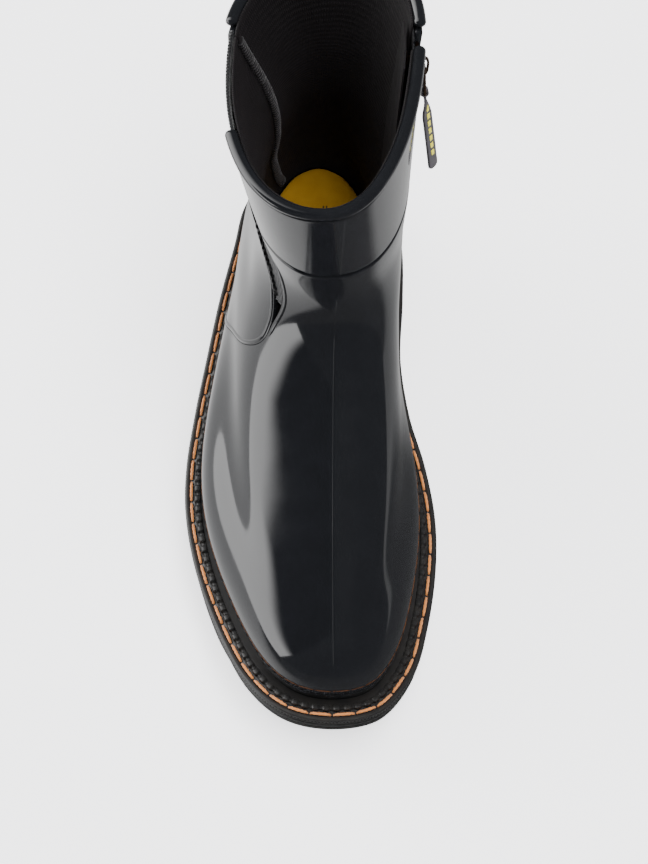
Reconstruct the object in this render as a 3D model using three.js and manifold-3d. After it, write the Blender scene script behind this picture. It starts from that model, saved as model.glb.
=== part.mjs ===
// Ankle-height rain boot for the right foot, moulded in PVC, with a storm welt, an elastic gore
// on the outer side and a zip on the inner side.
// Millimetres. +Z up, the toe points to -Y, the inner (zip) side is +X.
import * as THREE from 'three';
import { mergeVertices } from 'three/addons/utils/BufferGeometryUtils.js';
import Module from 'manifold-3d';

const wasm = await Module();
wasm.setup();

// Driving dimensions
const soleLength = 290;
const ballWidth = 112;
const rimHeight = 180;
const clearance = 0.35;

const shellWall = 2.2;
const liningWall = 1;
const liningStandOff = 1.4;
const cuffHeight = 38;
const cuffDip = 6;
const cuffStep = 1.1;
const beadRadius = 2.1;

const weltThickness = 3.6;
const outsoleThickness = 3.2;
const lugHeight = 2.8;
const lugPitch = 13;
const lugGroove = 4.5;
const outsoleInset = 1.2;
const toeTuck = 4;
const treadSetIn = 2;
const midsoleInset = 1.3;
const topPieceThickness = 7;
const heelLength = 82;
const heelInset = 3;
const ribWidth = 2.8;
const ribHeight = 1.7;
const ribInset = 5.9;
const ribPitch = 5.2;
const threadRadius = 0.75;
const threadInset = 3;
const stitchPitch = 10.5;

const boardThickness = 2;
const footbedThickness = 4.5;
const boardInset = 17;
const footbedInset = 19;
const shankLength = 96;
const shankWidth = 14;
const shankThickness = 1.6;

const zipSlot = 10;
const zipChainGap = 1.5;
const zipToothWidth = 2.2;
const zipToothPitch = 2.4;
const zipTapeWall = 0.6;
const zipTapeWidth = 7.5;
const guardReach = 13;
const guardStandOff = 1.15;
const guardWall = 0.8;
const zipBottom = 70;
const goreWall = 1.5;

const sliderLength = 12;
const sliderWidth = 8.5;
const sliderPlate = 1.3;
const bridgeHeight = 3.2;
const bridgeWall = 1.0;
const bridgeWidth = 1.8;
const barHeight = 1.4;
const barThickness = 1.2;
const pullerWidth = 6.4;
const pullerArm = 1.5;
const linkWindow = 5.8;
const tabWindow = 3.7;
const tabLength = 34;
const tabWidth = 6;
const tabThickness = 1.2;
const pullerTilt = 0.12;
const tabTilt = 0.1;
const stopLength = 2;
const stopGap = 1.4;

// Grading of the last: the tables below are for a 290 x 112 x 180 boot
const gx = ballWidth / 112;
const gy = soleLength / 290;
const gz = rimHeight / 180;

// Sole outline: toe tip, inner side back to the heel, then the outer side forward again
const outlinePoints = [
  [9.5, -145], [30.5, -140], [44.5, -121.5], [51.2, -98], [55.3, -70.8], [55.6, -45],
  [51.5, -19.4], [44.8, 5], [41.2, 32], [42.6, 61.6], [42.6, 90], [38, 114], [24, 136.5],
  [3.5, 145], [-17, 136.5], [-31, 114], [-36.2, 90], [-42.4, 61.6], [-47.8, 32],
  [-52.6, 5], [-55.8, -19.4], [-55.6, -43], [-50.5, -70], [-40.7, -98.5], [-28, -124],
  [-11.5, -140],
].map(([x, y]) => [x * gx, y * gy]);
const heelIndex = 13;

// Height of the welt's top face along the boot, [y, z]
const weltLine = [
  [-145, 27.6], [-100, 22], [-55, 21.5], [-15, 24.5], [25, 31], [65, 36], [105, 38], [145, 38],
];
// Underside of the outsole plate along the boot; the heel block fills the step behind it
const treadLine = [
  [-145, 9], [-115, 3], [-80, 0], [-10, 0], [15, 3], [40, 9], [62, 15.5], [90, 18], [145, 18],
];

// Last, level by level above the welt. The lowest three follow the sole outline, set in by
// [toe, ball, inner waist, outer waist, heel]
const lowLevels = [
  { h: 1, inset: [9.8, 9.5, 10.4, 9.5, 9.5] },
  { h: 14, inset: [7.2, 6.2, 4, 6.6, 6.8] },
  { h: 27, inset: [11.2, 9.8, 4, 8.4, 7.4] },
];
// The rest are egg-shaped: h, front y, back y, y of the widest place, outer and inner half
// widths, x of the front and of the back, front and back roundness
const highLevels = [
  [38, -120, 137, -12, 42, 33, 10, 3.5, 2.25, 2.48],
  [49, -98, 135.5, 2, 39.5, 32, 10, 3.5, 2.15, 2.55],
  [59, -67, 134, 20, 36.5, 31.5, 10, 3.5, 2.05, 2.5],
  [70, -35, 132.5, 38, 33.5, 31.5, 10, 3.5, 2, 2.4],
  [83, -9, 131, 50, 31.8, 33, 9.5, 3.5, 2, 2.3],
  [98, 3, 129.5, 58, 31.4, 33.6, 9, 4, 2, 2.2],
  [116, 5.5, 130.5, 66, 33, 34.9, 8, 5.5, 2, 2.1],
  [140, 6, 134, 75, 37, 35.1, 6.8, 9, 2.1, 2.1],
  [180, 6.4, 143.5, 93, 47, 34.6, 6.2, 15.4, 2.2, 2.4],
];
const netColumns = 36;

// Seams on the last, as the y of the edge at each height z
const goreFrontEdge = [
  [30, 70], [38, 60], [50, 42], [65, 25], [78, 11], [88, 5.5], [98, 9.5], [111, 14], [140, 28],
  [180, 50],
];
const goreRearEdge = [
  [30, 70], [38, 60], [50, 42], [65, 25], [78, 11], [88, 5.5], [96, 9], [103, 24], [115, 40],
  [140, 66], [180, 104],
];
const lobeEdge = [[30, 58], [36, 49], [45, 33], [53, 25], [60, 23], [66, 30], [72, 46]];
const zipLine = [[60, 49], [182, 99]];
const liningSeamLine = [[30, 128], [60, 119], [110, 108], [180, 98]];

const lerp = (a, b, t) => a + (b - a) * t;

// Smooth curve through [position, value] pairs
function through(pairs, at) {
  let i = 0;
  while (i < pairs.length - 2 && at > pairs[i + 1][0]) i += 1;
  const [x0, y0] = pairs[i];
  const [x1, y1] = pairs[i + 1];
  const span = x1 - x0;
  const t = (at - x0) / span;
  if (t <= 0 || t >= 1) return lerp(y0, y1, t);
  const slope = (a, b) => (b[1] - a[1]) / (b[0] - a[0]);
  const m0 = i > 0 ? slope(pairs[i - 1], pairs[i + 1]) : slope(pairs[i], pairs[i + 1]);
  const last = i + 2 >= pairs.length;
  const m1 = last ? slope(pairs[i], pairs[i + 1]) : slope(pairs[i], pairs[i + 2]);
  const t2 = t * t;
  const t3 = t2 * t;
  return (2 * t3 - 3 * t2 + 1) * y0 + (t3 - 2 * t2 + t) * span * m0
    + (3 * t2 - 2 * t3) * y1 + (t3 - t2) * span * m1;
}

const weltTop = (y) => through(weltLine, y / gy);
const treadBottom = (y) => Math.max(0, through(treadLine, y / gy));
const seamY = (line, z) => through(line, z / gz) * gy;

// Root of a rising or falling function between two ends
function solve(f, low, high) {
  let a = low;
  let b = high;
  const rising = f(b) > f(a);
  for (let i = 0; i < 40; i += 1) {
    const mid = (a + b) / 2;
    if ((f(mid) > 0) === rising) b = mid;
    else a = mid;
  }
  return (a + b) / 2;
}

// Closed Catmull-Rom outline; t counts control points
function outlineAt(t) {
  const n = outlinePoints.length;
  const i = Math.floor(t);
  const f = t - i;
  const p = [-1, 0, 1, 2].map((k) => outlinePoints[(i + k + n) % n]);
  return [0, 1].map((c) => 0.5 * (2 * p[1][c] + (p[2][c] - p[0][c]) * f
    + (2 * p[0][c] - 5 * p[1][c] + 4 * p[2][c] - p[3][c]) * f * f
    + (3 * p[1][c] - p[0][c] - 3 * p[2][c] + p[3][c]) * f * f * f));
}

// Outline moved inwards by a distance, or by a function of y
function insetAt(t, inset) {
  const [x, y] = outlineAt(t);
  const before = outlineAt(t - 0.01);
  const after = outlineAt(t + 0.01);
  const dx = after[0] - before[0];
  const dy = after[1] - before[1];
  const length = Math.hypot(dx, dy);
  const d = typeof inset === 'function' ? inset(y) : inset;
  return [x - (dy / length) * d, y + (dx / length) * d];
}

// x of the inset outline at a given y, on the inner (+1) or outer (-1) side
function edgeX(side, y, inset) {
  const n = outlinePoints.length;
  const [from, to] = side > 0 ? [0, heelIndex] : [n, heelIndex];
  const t = solve((s) => insetAt(s, inset)[1] - y, from, to);
  return insetAt(t, inset)[0];
}

// A plate of the sole's shape between two height functions of y. The rows cross the sole.
function plate(inset, bottom, top, { from = -1, to = 1, rows = 26, cols = 4 } = {}) {
  const toe = insetAt(0, inset)[1];
  const heel = insetAt(heelIndex, inset)[1];
  const start = from > -1 ? from * soleLength / 2 : toe;
  const end = to < 1 ? to * soleLength / 2 : heel;
  const lines = [];
  for (let r = 0; r <= rows; r += 1) {
    const y = (start + end) / 2 - (Math.cos((Math.PI * r) / rows) * (end - start)) / 2;
    const tip = (r === 0 && from <= -1) || (r === rows && to >= 1);
    const inner = tip ? insetAt(r ? heelIndex : 0, inset)[0] : edgeX(1, y, inset);
    const outer = tip ? inner : edgeX(-1, y, inset);
    const line = [];
    for (let c = 0; c <= (tip ? 0 : cols); c += 1) line.push([lerp(outer, inner, c / cols), y]);
    lines.push(line);
  }
  const soup = [];
  const lift = ([x, y], f) => new THREE.Vector3(x, y, f(y));
  const face = (a, b, c) => {
    soup.push(lift(a, top), lift(b, top), lift(c, top));
    soup.push(lift(a, bottom), lift(c, bottom), lift(b, bottom));
  };
  const wall = (a, b) => {
    soup.push(lift(a, bottom), lift(b, bottom), lift(b, top));
    soup.push(lift(a, bottom), lift(b, top), lift(a, top));
  };
  for (let r = 0; r < rows; r += 1) {
    const a = lines[r];
    const b = lines[r + 1];
    for (let c = 0; c < cols; c += 1) {
      if (a.length > 1) face(a[c], a[c + 1], b.length > 1 ? b[c + 1] : b[0]);
      if (b.length > 1) face(a.length > 1 ? a[c] : a[0], b[c + 1], b[c]);
    }
    wall(a.at(-1), b.at(-1));
    wall(b[0], a[0]);
  }
  const across = (line, flip) => {
    for (let c = 0; c + 1 < line.length; c += 1) {
      wall(line[c + (flip ? 1 : 0)], line[c + (flip ? 0 : 1)]);
    }
  };
  across(lines[0], false);
  across(lines[rows], true);
  return closed(soup);
}

// Triangle soup to one closed geometry facing out
function closed(points) {
  const raw = new THREE.BufferGeometry().setFromPoints(points);
  const merged = mergeVertices(raw, 1e-4);
  const index = [...merged.index.array];
  const kept = [];
  const p = merged.attributes.position;
  const v = [0, 1, 2].map(() => new THREE.Vector3());
  let volume = 0;
  for (let i = 0; i < index.length; i += 3) {
    const [a, b, c] = index.slice(i, i + 3);
    if (a === b || b === c || a === c) continue;
    kept.push([a, b, c]);
    [a, b, c].forEach((k, j) => v[j].fromBufferAttribute(p, k));
    volume += v[0].dot(v[1].cross(v[2]));
  }
  merged.setIndex(kept.flatMap(([a, b, c]) => (volume < 0 ? [a, c, b] : [a, b, c])));
  merged.computeVertexNormals();
  return merged;
}

// The last: a net of control points, smoothed by a cubic B-spline both ways
const net = [];
function insetProfile([toe, ball, innerWaist, outerWaist, heel], side) {
  const waist = side > 0 ? innerWaist : outerWaist;
  const pairs = [[-145, toe], [-95, ball + 1], [-50, ball], [10, waist], [60, (waist + heel) / 2],
    [100, heel], [145, heel]];
  return (y) => through(pairs, y / gy);
}
const levelHeight = (h, y) => h * gz + weltTop(y) * (1 - h / 180);
for (const { h, inset } of lowLevels) {
  const row = [];
  for (let j = 0; j < netColumns; j += 1) {
    const angle = (2 * Math.PI * j) / netColumns;
    const side = Math.sin(angle) >= 0 ? 1 : -1;
    const profile = insetProfile(inset, side);
    const front = insetAt(0, profile)[1];
    const back = insetAt(heelIndex, profile)[1];
    const widest = -10 * gy;
    const c = Math.cos(angle);
    const y = c > 0 ? widest - (widest - front) * c : widest - (back - widest) * c;
    const tip = j === 0 || j === netColumns / 2;
    const x = tip ? insetAt(j ? heelIndex : 0, profile)[0] : edgeX(side, y, profile);
    row.push(new THREE.Vector3(x, y, levelHeight(h, y)));
  }
  net.push(row);
}
for (const level of highLevels) {
  const [h, front, back, widest, outer, inner, frontX, backX, frontRound, backRound] = level;
  const row = [];
  for (let j = 0; j < netColumns; j += 1) {
    const angle = (2 * Math.PI * j) / netColumns;
    const c = Math.cos(angle);
    const half = Math.sin(angle) >= 0 ? inner : -outer;
    const round = c > 0 ? frontRound : backRound;
    const y = c > 0 ? widest - (widest - front) * c : widest - (back - widest) * c;
    const spread = (1 - Math.abs(c) ** round) ** (1 / round);
    const x = lerp(frontX, backX, (y - front) / (back - front)) + half * spread;
    row.push(new THREE.Vector3(x * gx, y * gy, levelHeight(h, y * gy)));
  }
  net.push(row);
}

function netPoint(level, column) {
  const n = net.length;
  const j = ((column % netColumns) + netColumns) % netColumns;
  if (level < 0) return net[0][j].clone().multiplyScalar(2).sub(net[1][j]);
  if (level >= n) return net[n - 1][j].clone().multiplyScalar(2).sub(net[n - 2][j]);
  return net[level][j];
}

function bsplineWeights(t) {
  const s = 1 - t;
  return [s ** 3 / 6, (3 * t ** 3 - 6 * t ** 2 + 4) / 6, (3 * s ** 3 - 6 * s ** 2 + 4) / 6,
    t ** 3 / 6];
}

// Point of the last: angle 0 at the toe, growing towards the inner side; v 0 welt, 1 rim
function last(angle, v) {
  const u = (angle / (2 * Math.PI)) * netColumns;
  const i = Math.floor(u);
  const s = Math.min(Math.max(v, 0), 1) * (net.length - 1);
  const k = Math.min(Math.floor(s), net.length - 2);
  const wu = bsplineWeights(u - i);
  const wv = bsplineWeights(s - k);
  const p = new THREE.Vector3();
  for (let b = 0; b < 4; b += 1) {
    for (let a = 0; a < 4; a += 1) {
      p.addScaledVector(netPoint(k - 1 + b, i - 1 + a), wu[a] * wv[b]);
    }
  }
  return p;
}

function lastNormal(angle, v) {
  const e = 0.004;
  const low = Math.max(v - e, 0);
  const high = Math.min(v + e, 1);
  const along = last(angle + e, v).sub(last(angle - e, v));
  const up = last(angle, high).sub(last(angle, low));
  return along.cross(up).normalize();
}

// Point at a depth below (or, when negative, above) the last's surface
const skin = (angle, v, depth) => last(angle, v).addScaledVector(lastNormal(angle, v), -depth);

const riseTo = (angle, z) => solve((v) => last(angle, v).z - z, 0, 1);

// Angle where a seam crosses a row; side +1 is inner, -1 outer; shift moves the seam back
function seamAngle(side, line, shift, rowOf) {
  const f = (a) => {
    const p = last(side * a, rowOf(side * a));
    return p.y - seamY(line, p.z) - shift;
  };
  return side * solve(f, 0.02, Math.PI - 0.02);
}

// A closed panel of the upper. start and end give the row's first and last angle; where an
// edge swings away from a straight run, only the columns near that edge follow it.
function panel({ low, high, start, end, outer, inner, cols, rows }) {
  const grid = [];
  const edges = [];
  for (let r = 0; r <= rows; r += 1) {
    const rowOf = (a) => lerp(low(a), high(a), r / rows);
    edges.push({ rowOf, a0: start(rowOf), a1: end(rowOf) });
  }
  const reach = 0.45;
  for (let r = 0; r <= rows; r += 1) {
    const { rowOf, a0, a1 } = edges[r];
    const plain0 = lerp(edges[0].a0, edges[rows].a0, r / rows);
    const plain1 = lerp(edges[0].a1, edges[rows].a1, r / rows);
    const line = [];
    for (let c = 0; c <= cols; c += 1) {
      const t = c / cols;
      const near0 = 1 - THREE.MathUtils.smoothstep(t, 0, reach);
      const near1 = THREE.MathUtils.smoothstep(t, 1 - reach, 1);
      const a = lerp(plain0, plain1, t) + (a0 - plain0) * near0 + (a1 - plain1) * near1;
      line.push([skin(a, rowOf(a), outer), skin(a, rowOf(a), inner)]);
    }
    grid.push(line);
  }
  return slab(grid);
}

// Closed body from a grid of [outer, inner] pairs
function slab(grid) {
  const soup = [];
  const quad = (a, b, c, d) => soup.push(a, b, c, a, c, d);
  const rows = grid.length - 1;
  const cols = grid[0].length - 1;
  for (let r = 0; r < rows; r += 1) {
    for (let c = 0; c < cols; c += 1) {
      const [a, b, d, e] = [grid[r][c], grid[r][c + 1], grid[r + 1][c + 1], grid[r + 1][c]];
      quad(a[0], b[0], d[0], e[0]);
      quad(a[1], e[1], d[1], b[1]);
    }
    quad(grid[r][0][0], grid[r + 1][0][0], grid[r + 1][0][1], grid[r][0][1]);
    quad(grid[r][cols][0], grid[r][cols][1], grid[r + 1][cols][1], grid[r + 1][cols][0]);
  }
  for (let c = 0; c < cols; c += 1) {
    quad(grid[0][c][0], grid[0][c][1], grid[0][c + 1][1], grid[0][c + 1][0]);
    quad(grid[rows][c][0], grid[rows][c + 1][0], grid[rows][c + 1][1], grid[rows][c][1]);
  }
  return closed(soup);
}

// Closed body from rings of points; the ends are capped unless the rings close on themselves
function tube(rings, loop) {
  const soup = [];
  const n = rings[0].length;
  const count = loop ? rings.length : rings.length - 1;
  for (let i = 0; i < count; i += 1) {
    const a = rings[i];
    const b = rings[(i + 1) % rings.length];
    for (let k = 0; k < n; k += 1) {
      const m = (k + 1) % n;
      soup.push(a[k], b[k], b[m], a[k], b[m], a[m]);
    }
  }
  if (!loop) {
    for (let k = 1; k + 1 < n; k += 1) {
      soup.push(rings[0][0], rings[0][k], rings[0][k + 1]);
      soup.push(rings.at(-1)[0], rings.at(-1)[k + 1], rings.at(-1)[k]);
    }
  }
  return closed(soup);
}

// Booleans
function solid(geometry) {
  const bare = geometry.clone();
  bare.deleteAttribute('normal');
  bare.deleteAttribute('uv');
  const merged = mergeVertices(bare, 1e-4);
  return new wasm.Manifold(new wasm.Mesh({
    numProp: 3,
    vertProperties: new Float32Array(merged.attributes.position.array),
    triVerts: new Uint32Array(merged.index.array),
  }));
}

function fromSolid(body) {
  const mesh = body.getMesh();
  const geometry = new THREE.BufferGeometry();
  geometry.setAttribute('position', new THREE.BufferAttribute(mesh.vertProperties, 3));
  geometry.setIndex(new THREE.BufferAttribute(mesh.triVerts, 1));
  geometry.computeVertexNormals();
  return geometry;
}

function box(width, depth, height, x, y, z) {
  return new THREE.BoxGeometry(width, depth, height).translate(x, y, z);
}

// Materials
const finishes = {
  pvc: [0x24272b, 0.12, 0],
  sole: [0x2d2e33, 0.45, 0],
  welt: [0x45413c, 0.4, 0],
  thread: [0xe8a868, 0.75, 0],
  jersey: [0x141213, 0.95, 0],
  elastic: [0x111112, 0.85, 0],
  insole: [0xb08418, 0.8, 0],
  board: [0x9c8a6c, 0.9, 0],
  steel: [0x8e9093, 0.35, 1],
  gunmetal: [0x4a4644, 0.3, 1],
  tape: [0x18181a, 0.9, 0],
  tab: [0x3d3a3d, 0.6, 0],
};
const boot = new THREE.Group();
const materials = Object.fromEntries(Object.entries(finishes).map(([name, [color, rough, metal]]) => [
  name, new THREE.MeshStandardMaterial({ color, roughness: rough, metalness: metal }),
]));
function add(name, geometry, finish, group = boot) {
  const mesh = new THREE.Mesh(geometry, materials[finish]);
  mesh.name = name;
  group.add(mesh);
  return mesh;
}

// Bottom of the boot
const outsoleTop = (y) => treadBottom(y) + lugHeight + outsoleThickness;
const midsoleTop = (y) => weltTop(y) - weltThickness - clearance;
const toeRoll = (y) => toeTuck * (1 - THREE.MathUtils.smoothstep(y / gy, -142, -95));
const heelBreast = soleLength / 2 - heelLength;

function outsole() {
  const bodyInset = (y) => outsoleInset + toeRoll(y);
  const treadInset = (y) => bodyInset(y) + treadSetIn;
  const root = (y) => treadBottom(y) + lugHeight;
  const body = solid(plate(bodyInset, root, outsoleTop, { cols: 2 }));
  const tread = solid(plate(treadInset, treadBottom, (y) => root(y) + 1, { cols: 2 }));
  let bars = null;
  const reach = soleLength / 2;
  for (let y = -reach; y < heelBreast - lugPitch; y += lugPitch) {
    const bar = solid(box(ballWidth * 2, lugPitch - lugGroove, 60, 0, y + lugPitch / 2, 0));
    bars = bars ? bars.add(bar) : bar;
  }
  return fromSolid(body.add(tread.intersect(bars)));
}

function heelBlock() {
  const from = heelBreast / (soleLength / 2);
  const under = (y) => treadBottom(y) + lugHeight - clearance * 1.6;
  return plate(heelInset, () => topPieceThickness + clearance, under, { from, rows: 14, cols: 2 });
}

function heelTopPiece() {
  const from = heelBreast / (soleLength / 2);
  return plate(heelInset, () => 0, () => topPieceThickness, { from, rows: 14, cols: 2 });
}

// The shank bridges the waist in a pocket in the top of the midsole
const shankFrom = -20 * gy;
const shankX = 3 * gx;
const shankTop = (y) => midsoleTop(y) - clearance;

function strip(width, from, to, bottom, top) {
  const rings = [];
  const steps = 8;
  for (let i = 0; i <= steps; i += 1) {
    const y = lerp(from, to, i / steps);
    const corners = [[-1, bottom], [1, bottom], [1, top], [-1, top]];
    rings.push(corners.map(([side, f]) => new THREE.Vector3(shankX + (side * width) / 2, y, f(y))));
  }
  return tube(rings, false);
}

function shank() {
  const bottom = (y) => shankTop(y) - shankThickness;
  return strip(shankWidth, shankFrom, shankFrom + shankLength, bottom, shankTop);
}

function midsole() {
  const body = plate(midsoleInset, (y) => outsoleTop(y) + clearance, midsoleTop);
  const floor = (y) => shankTop(y) - shankThickness - clearance;
  const pocket = strip(shankWidth + 2 * clearance, shankFrom - clearance,
    shankFrom + shankLength + clearance, floor, (y) => midsoleTop(y) + 3);
  return fromSolid(solid(body).subtract(solid(pocket)));
}

function welt() {
  return plate(0, (y) => weltTop(y) - weltThickness, weltTop, { rows: 34 });
}

// A ring that follows the outline on top of the welt
function weltRing(count, ring) {
  const n = outlinePoints.length;
  const rings = [];
  for (let i = 0; i < count; i += 1) rings.push(ring((i / count) * n, i));
  return tube(rings, true);
}

function outlineLength() {
  let total = 0;
  let before = outlineAt(0);
  for (let i = 1; i <= 260; i += 1) {
    const p = outlineAt((i / 260) * outlinePoints.length);
    total += Math.hypot(p[0] - before[0], p[1] - before[1]);
    before = p;
  }
  return total;
}

function weltRib() {
  const count = Math.round(outlineLength() / ribPitch) * 2;
  return weltRing(count, (t, i) => {
    const crest = i % 2 ? 0.45 : 0;
    const a = insetAt(t, ribInset - ribWidth / 2 + crest);
    const b = insetAt(t, ribInset + ribWidth / 2);
    const low = (p) => new THREE.Vector3(p[0], p[1], weltTop(p[1]) + clearance);
    const high = (p) => new THREE.Vector3(p[0], p[1], weltTop(p[1]) + ribHeight - crest * 1.2);
    return [low(a), high(a), high(b), low(b)];
  });
}

function weltStitching() {
  const count = Math.round(outlineLength() / stitchPitch) * 2;
  return weltRing(count, (t, i) => {
    const dip = i % 2 === 0 ? 0.3 : 0;
    const [x, y] = insetAt(t, threadInset);
    const [nx, ny] = insetAt(t, threadInset + 1);
    const z = weltTop(y) + threadRadius + clearance - dip * 0.5;
    const ring = [];
    for (let k = 0; k < 5; k += 1) {
      const a = (2 * Math.PI * k) / 5;
      const r = threadRadius * (1 - dip);
      const out = Math.cos(a) * r;
      ring.push(new THREE.Vector3(x + (nx - x) * out, y + (ny - y) * out, z + Math.sin(a) * r));
    }
    return ring;
  });
}

const boardTop = (y) => weltTop(y) + clearance + boardThickness;

function insoleBoard() {
  return plate(boardInset, (y) => weltTop(y) + clearance, boardTop, { cols: 3 });
}

function footbed() {
  const bottom = (y) => boardTop(y) + clearance;
  return plate(footbedInset, bottom, (y) => bottom(y) + footbedThickness, { cols: 3 });
}

// Upper
const rimLow = rimHeight - beadRadius - clearance;
const liningDepth = shellWall + liningStandOff;
const feather = () => 0;
const toHeight = (z) => (a) => riseTo(a, z);
// The cuff's lower edge dips towards the zip
const cuffEdge = (drop) => (a) => {
  const dip = cuffDip * gz * THREE.MathUtils.smoothstep(Math.sin(a), 0, 1);
  return riseTo(a, rimLow - cuffHeight - dip - drop);
};
const halfSlot = zipSlot / 2;
const edgeShift = clearance / 2;

const goreFront = (shift) => (row) => seamAngle(-1, goreFrontEdge, shift, row);
const goreRear = (shift) => (row) => {
  const rear = seamAngle(-1, goreRearEdge, shift, row);
  const front = seamAngle(-1, goreFrontEdge, shift, row);
  return Math.min(rear, front) + 2 * Math.PI;
};
const zipFront = (shift) => (row) => seamAngle(1, zipLine, -halfSlot + shift, row);
const zipRear = (shift) => (row) => seamAngle(1, zipLine, halfSlot + shift, row);

// Below the zip the quarter's lobe reaches forward over the vamp
function innerEdge(slotShift, shift) {
  return (row) => {
    const f = (a) => {
      const p = last(a, row(a));
      const lobe = seamY(lobeEdge, p.z);
      const slot = seamY(zipLine, p.z) + slotShift;
      const blend = THREE.MathUtils.smoothstep(p.z / gz, zipBottom - 10, zipBottom - 4);
      return p.y - lerp(lobe, slot, blend) - shift;
    };
    return solve(f, 0.02, Math.PI - 0.02);
  };
}

function vampShell() {
  return panel({
    low: feather, high: cuffEdge(clearance), start: goreFront(-edgeShift),
    end: innerEdge(-halfSlot, -edgeShift), outer: 0, inner: shellWall, cols: 34, rows: 18,
  });
}

function quarterShell() {
  return panel({
    low: feather, high: cuffEdge(clearance), start: innerEdge(halfSlot, edgeShift),
    end: goreRear(edgeShift), outer: 0, inner: shellWall, cols: 26, rows: 18,
  });
}

function cuff(start, end, cols) {
  return panel({
    low: cuffEdge(0), high: toHeight(rimLow), start, end, outer: -cuffStep,
    inner: shellWall, cols, rows: 3,
  });
}

function rimBead(start, end, count) {
  const row = () => 1;
  const a0 = start(row);
  const a1 = end(row);
  const rings = [];
  const reach = (beadRadius + cuffStep + shellWall) / 2;
  for (let i = 0; i <= count; i += 1) {
    const a = lerp(a0, a1, i / count);
    const up = new THREE.Vector3(0, 0, 1);
    const out = lastNormal(a, 1).setZ(0).normalize();
    const centre = last(a, 1).addScaledVector(out, (cuffStep - shellWall) / 2);
    const ring = [];
    for (let k = 0; k < 8; k += 1) {
      const w = (2 * Math.PI * (k + 0.5)) / 8;
      ring.push(centre.clone().addScaledVector(out, Math.cos(w) * reach)
        .addScaledVector(up, Math.sin(w) * beadRadius));
    }
    rings.push(ring);
  }
  return tube(rings, false);
}

function goreElastic() {
  return panel({
    low: toHeight(106 * gz), high: toHeight(rimHeight - 1),
    start: (row) => seamAngle(-1, goreRearEdge, -2 * clearance, row),
    end: (row) => seamAngle(-1, goreFrontEdge, 2 * clearance, row),
    outer: 0.4, inner: 0.4 + goreWall, cols: 8, rows: 9,
  });
}

function lining(start, end, cols) {
  const low = (a) => {
    const floor = last(a, 0);
    return riseTo(a, floor.z + 3);
  };
  return panel({
    low, high: toHeight(rimHeight - 0.5), start, end, outer: liningDepth,
    inner: liningDepth + liningWall, cols, rows: 11,
  });
}

const liningEdge = (shift) => (row) => seamAngle(-1, liningSeamLine, shift, row);
const liningRearEnd = (row) => liningEdge(edgeShift)(row) + 2 * Math.PI;
const liningGap = 7;

// Zip: tapes and teeth lie in the slot, along the zip line
const tapeLow = toHeight(zipBottom * gz);
const tapeHigh = toHeight(rimLow - clearance);
const chainBottom = zipBottom * gz + stopLength + stopGap * 2;
const chainTop = rimLow - stopLength - stopGap * 1.6;
const zipSeam = (shift) => (row) => seamAngle(1, zipLine, shift, row);
const tapeOuter = shellWall + clearance;

function zipTape(from, to) {
  return panel({
    low: tapeLow, high: tapeHigh, start: zipSeam(from), end: zipSeam(to), outer: tapeOuter,
    inner: tapeOuter + zipTapeWall, cols: 1, rows: 10,
  });
}

function zipTeeth(side) {
  const rows = Math.round((chainTop - chainBottom) / zipToothPitch) * 2;
  const zipLow = toHeight(chainBottom);
  const zipHigh = toHeight(chainTop);
  const inside = zipChainGap / 2;
  const grid = [];
  for (let r = 0; r <= rows; r += 1) {
    const row = (a) => lerp(zipLow(a), zipHigh(a), r / rows);
    const reach = r % 2 ? inside : inside + 0.7;
    const line = [reach, inside + zipToothWidth].map((d) => {
      const a = zipSeam(side * d)(row);
      return [skin(a, row(a), 0.5), skin(a, row(a), tapeOuter - clearance)];
    });
    grid.push(side > 0 ? line : line.reverse());
  }
  return slab(grid);
}

function zipGuard() {
  const depth = liningDepth + liningWall + guardStandOff;
  return panel({
    low: toHeight((zipBottom - 6) * gz), high: toHeight(rimHeight - 4),
    start: zipSeam(-guardReach), end: zipSeam(guardReach), outer: depth,
    inner: depth + guardWall, cols: 3, rows: 10,
  });
}

// Straight frame of the zip: x across, y outwards, z up along the chain
function zipFrame() {
  const at = (z) => {
    const row = toHeight(z);
    const a = zipSeam(0)(row);
    return [last(a, row(a)), lastNormal(a, row(a))];
  };
  const [low, n0] = at(chainBottom);
  const [high, n1] = at(chainTop);
  const up = high.clone().sub(low).normalize();
  const out = n0.add(n1).projectOnPlane(up).normalize();
  const across = out.clone().cross(up);
  return { low, high, up, out, across };
}

const frame = zipFrame();
const frameTurn = new THREE.Quaternion().setFromRotationMatrix(
  new THREE.Matrix4().makeBasis(frame.across, frame.out, frame.up),
);
function onChain(distance) {
  const group = new THREE.Group();
  group.position.copy(frame.high).addScaledVector(frame.up, distance);
  group.quaternion.copy(frameTurn);
  boot.add(group);
  return group;
}

const plateOut = 0.4;
const chainBow = 1.2;
const toothMiddle = (zipChainGap + zipToothWidth) / 2;
const stopDepth = tapeOuter - clearance * 2;

function zipStop(width, x) {
  return box(width, stopDepth - 0.5, stopLength, x, -(stopDepth + 0.5) / 2, 0);
}

function outlinePlate(width, length, thickness, y) {
  const w = width / 2;
  const l = length / 2;
  const shape = new THREE.Shape();
  shape.moveTo(-w * 0.6, -l);
  shape.lineTo(w * 0.6, -l);
  shape.lineTo(w, l * 0.35);
  shape.quadraticCurveTo(w * 0.9, l, w * 0.3, l);
  shape.lineTo(-w * 0.3, l);
  shape.quadraticCurveTo(-w * 0.9, l, -w, l * 0.35);
  shape.closePath();
  const body = new THREE.ExtrudeGeometry(shape, {
    depth: thickness, bevelEnabled: false, curveSegments: 4,
  });
  return body.rotateX(Math.PI / 2).translate(0, y + thickness, 0);
}

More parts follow.
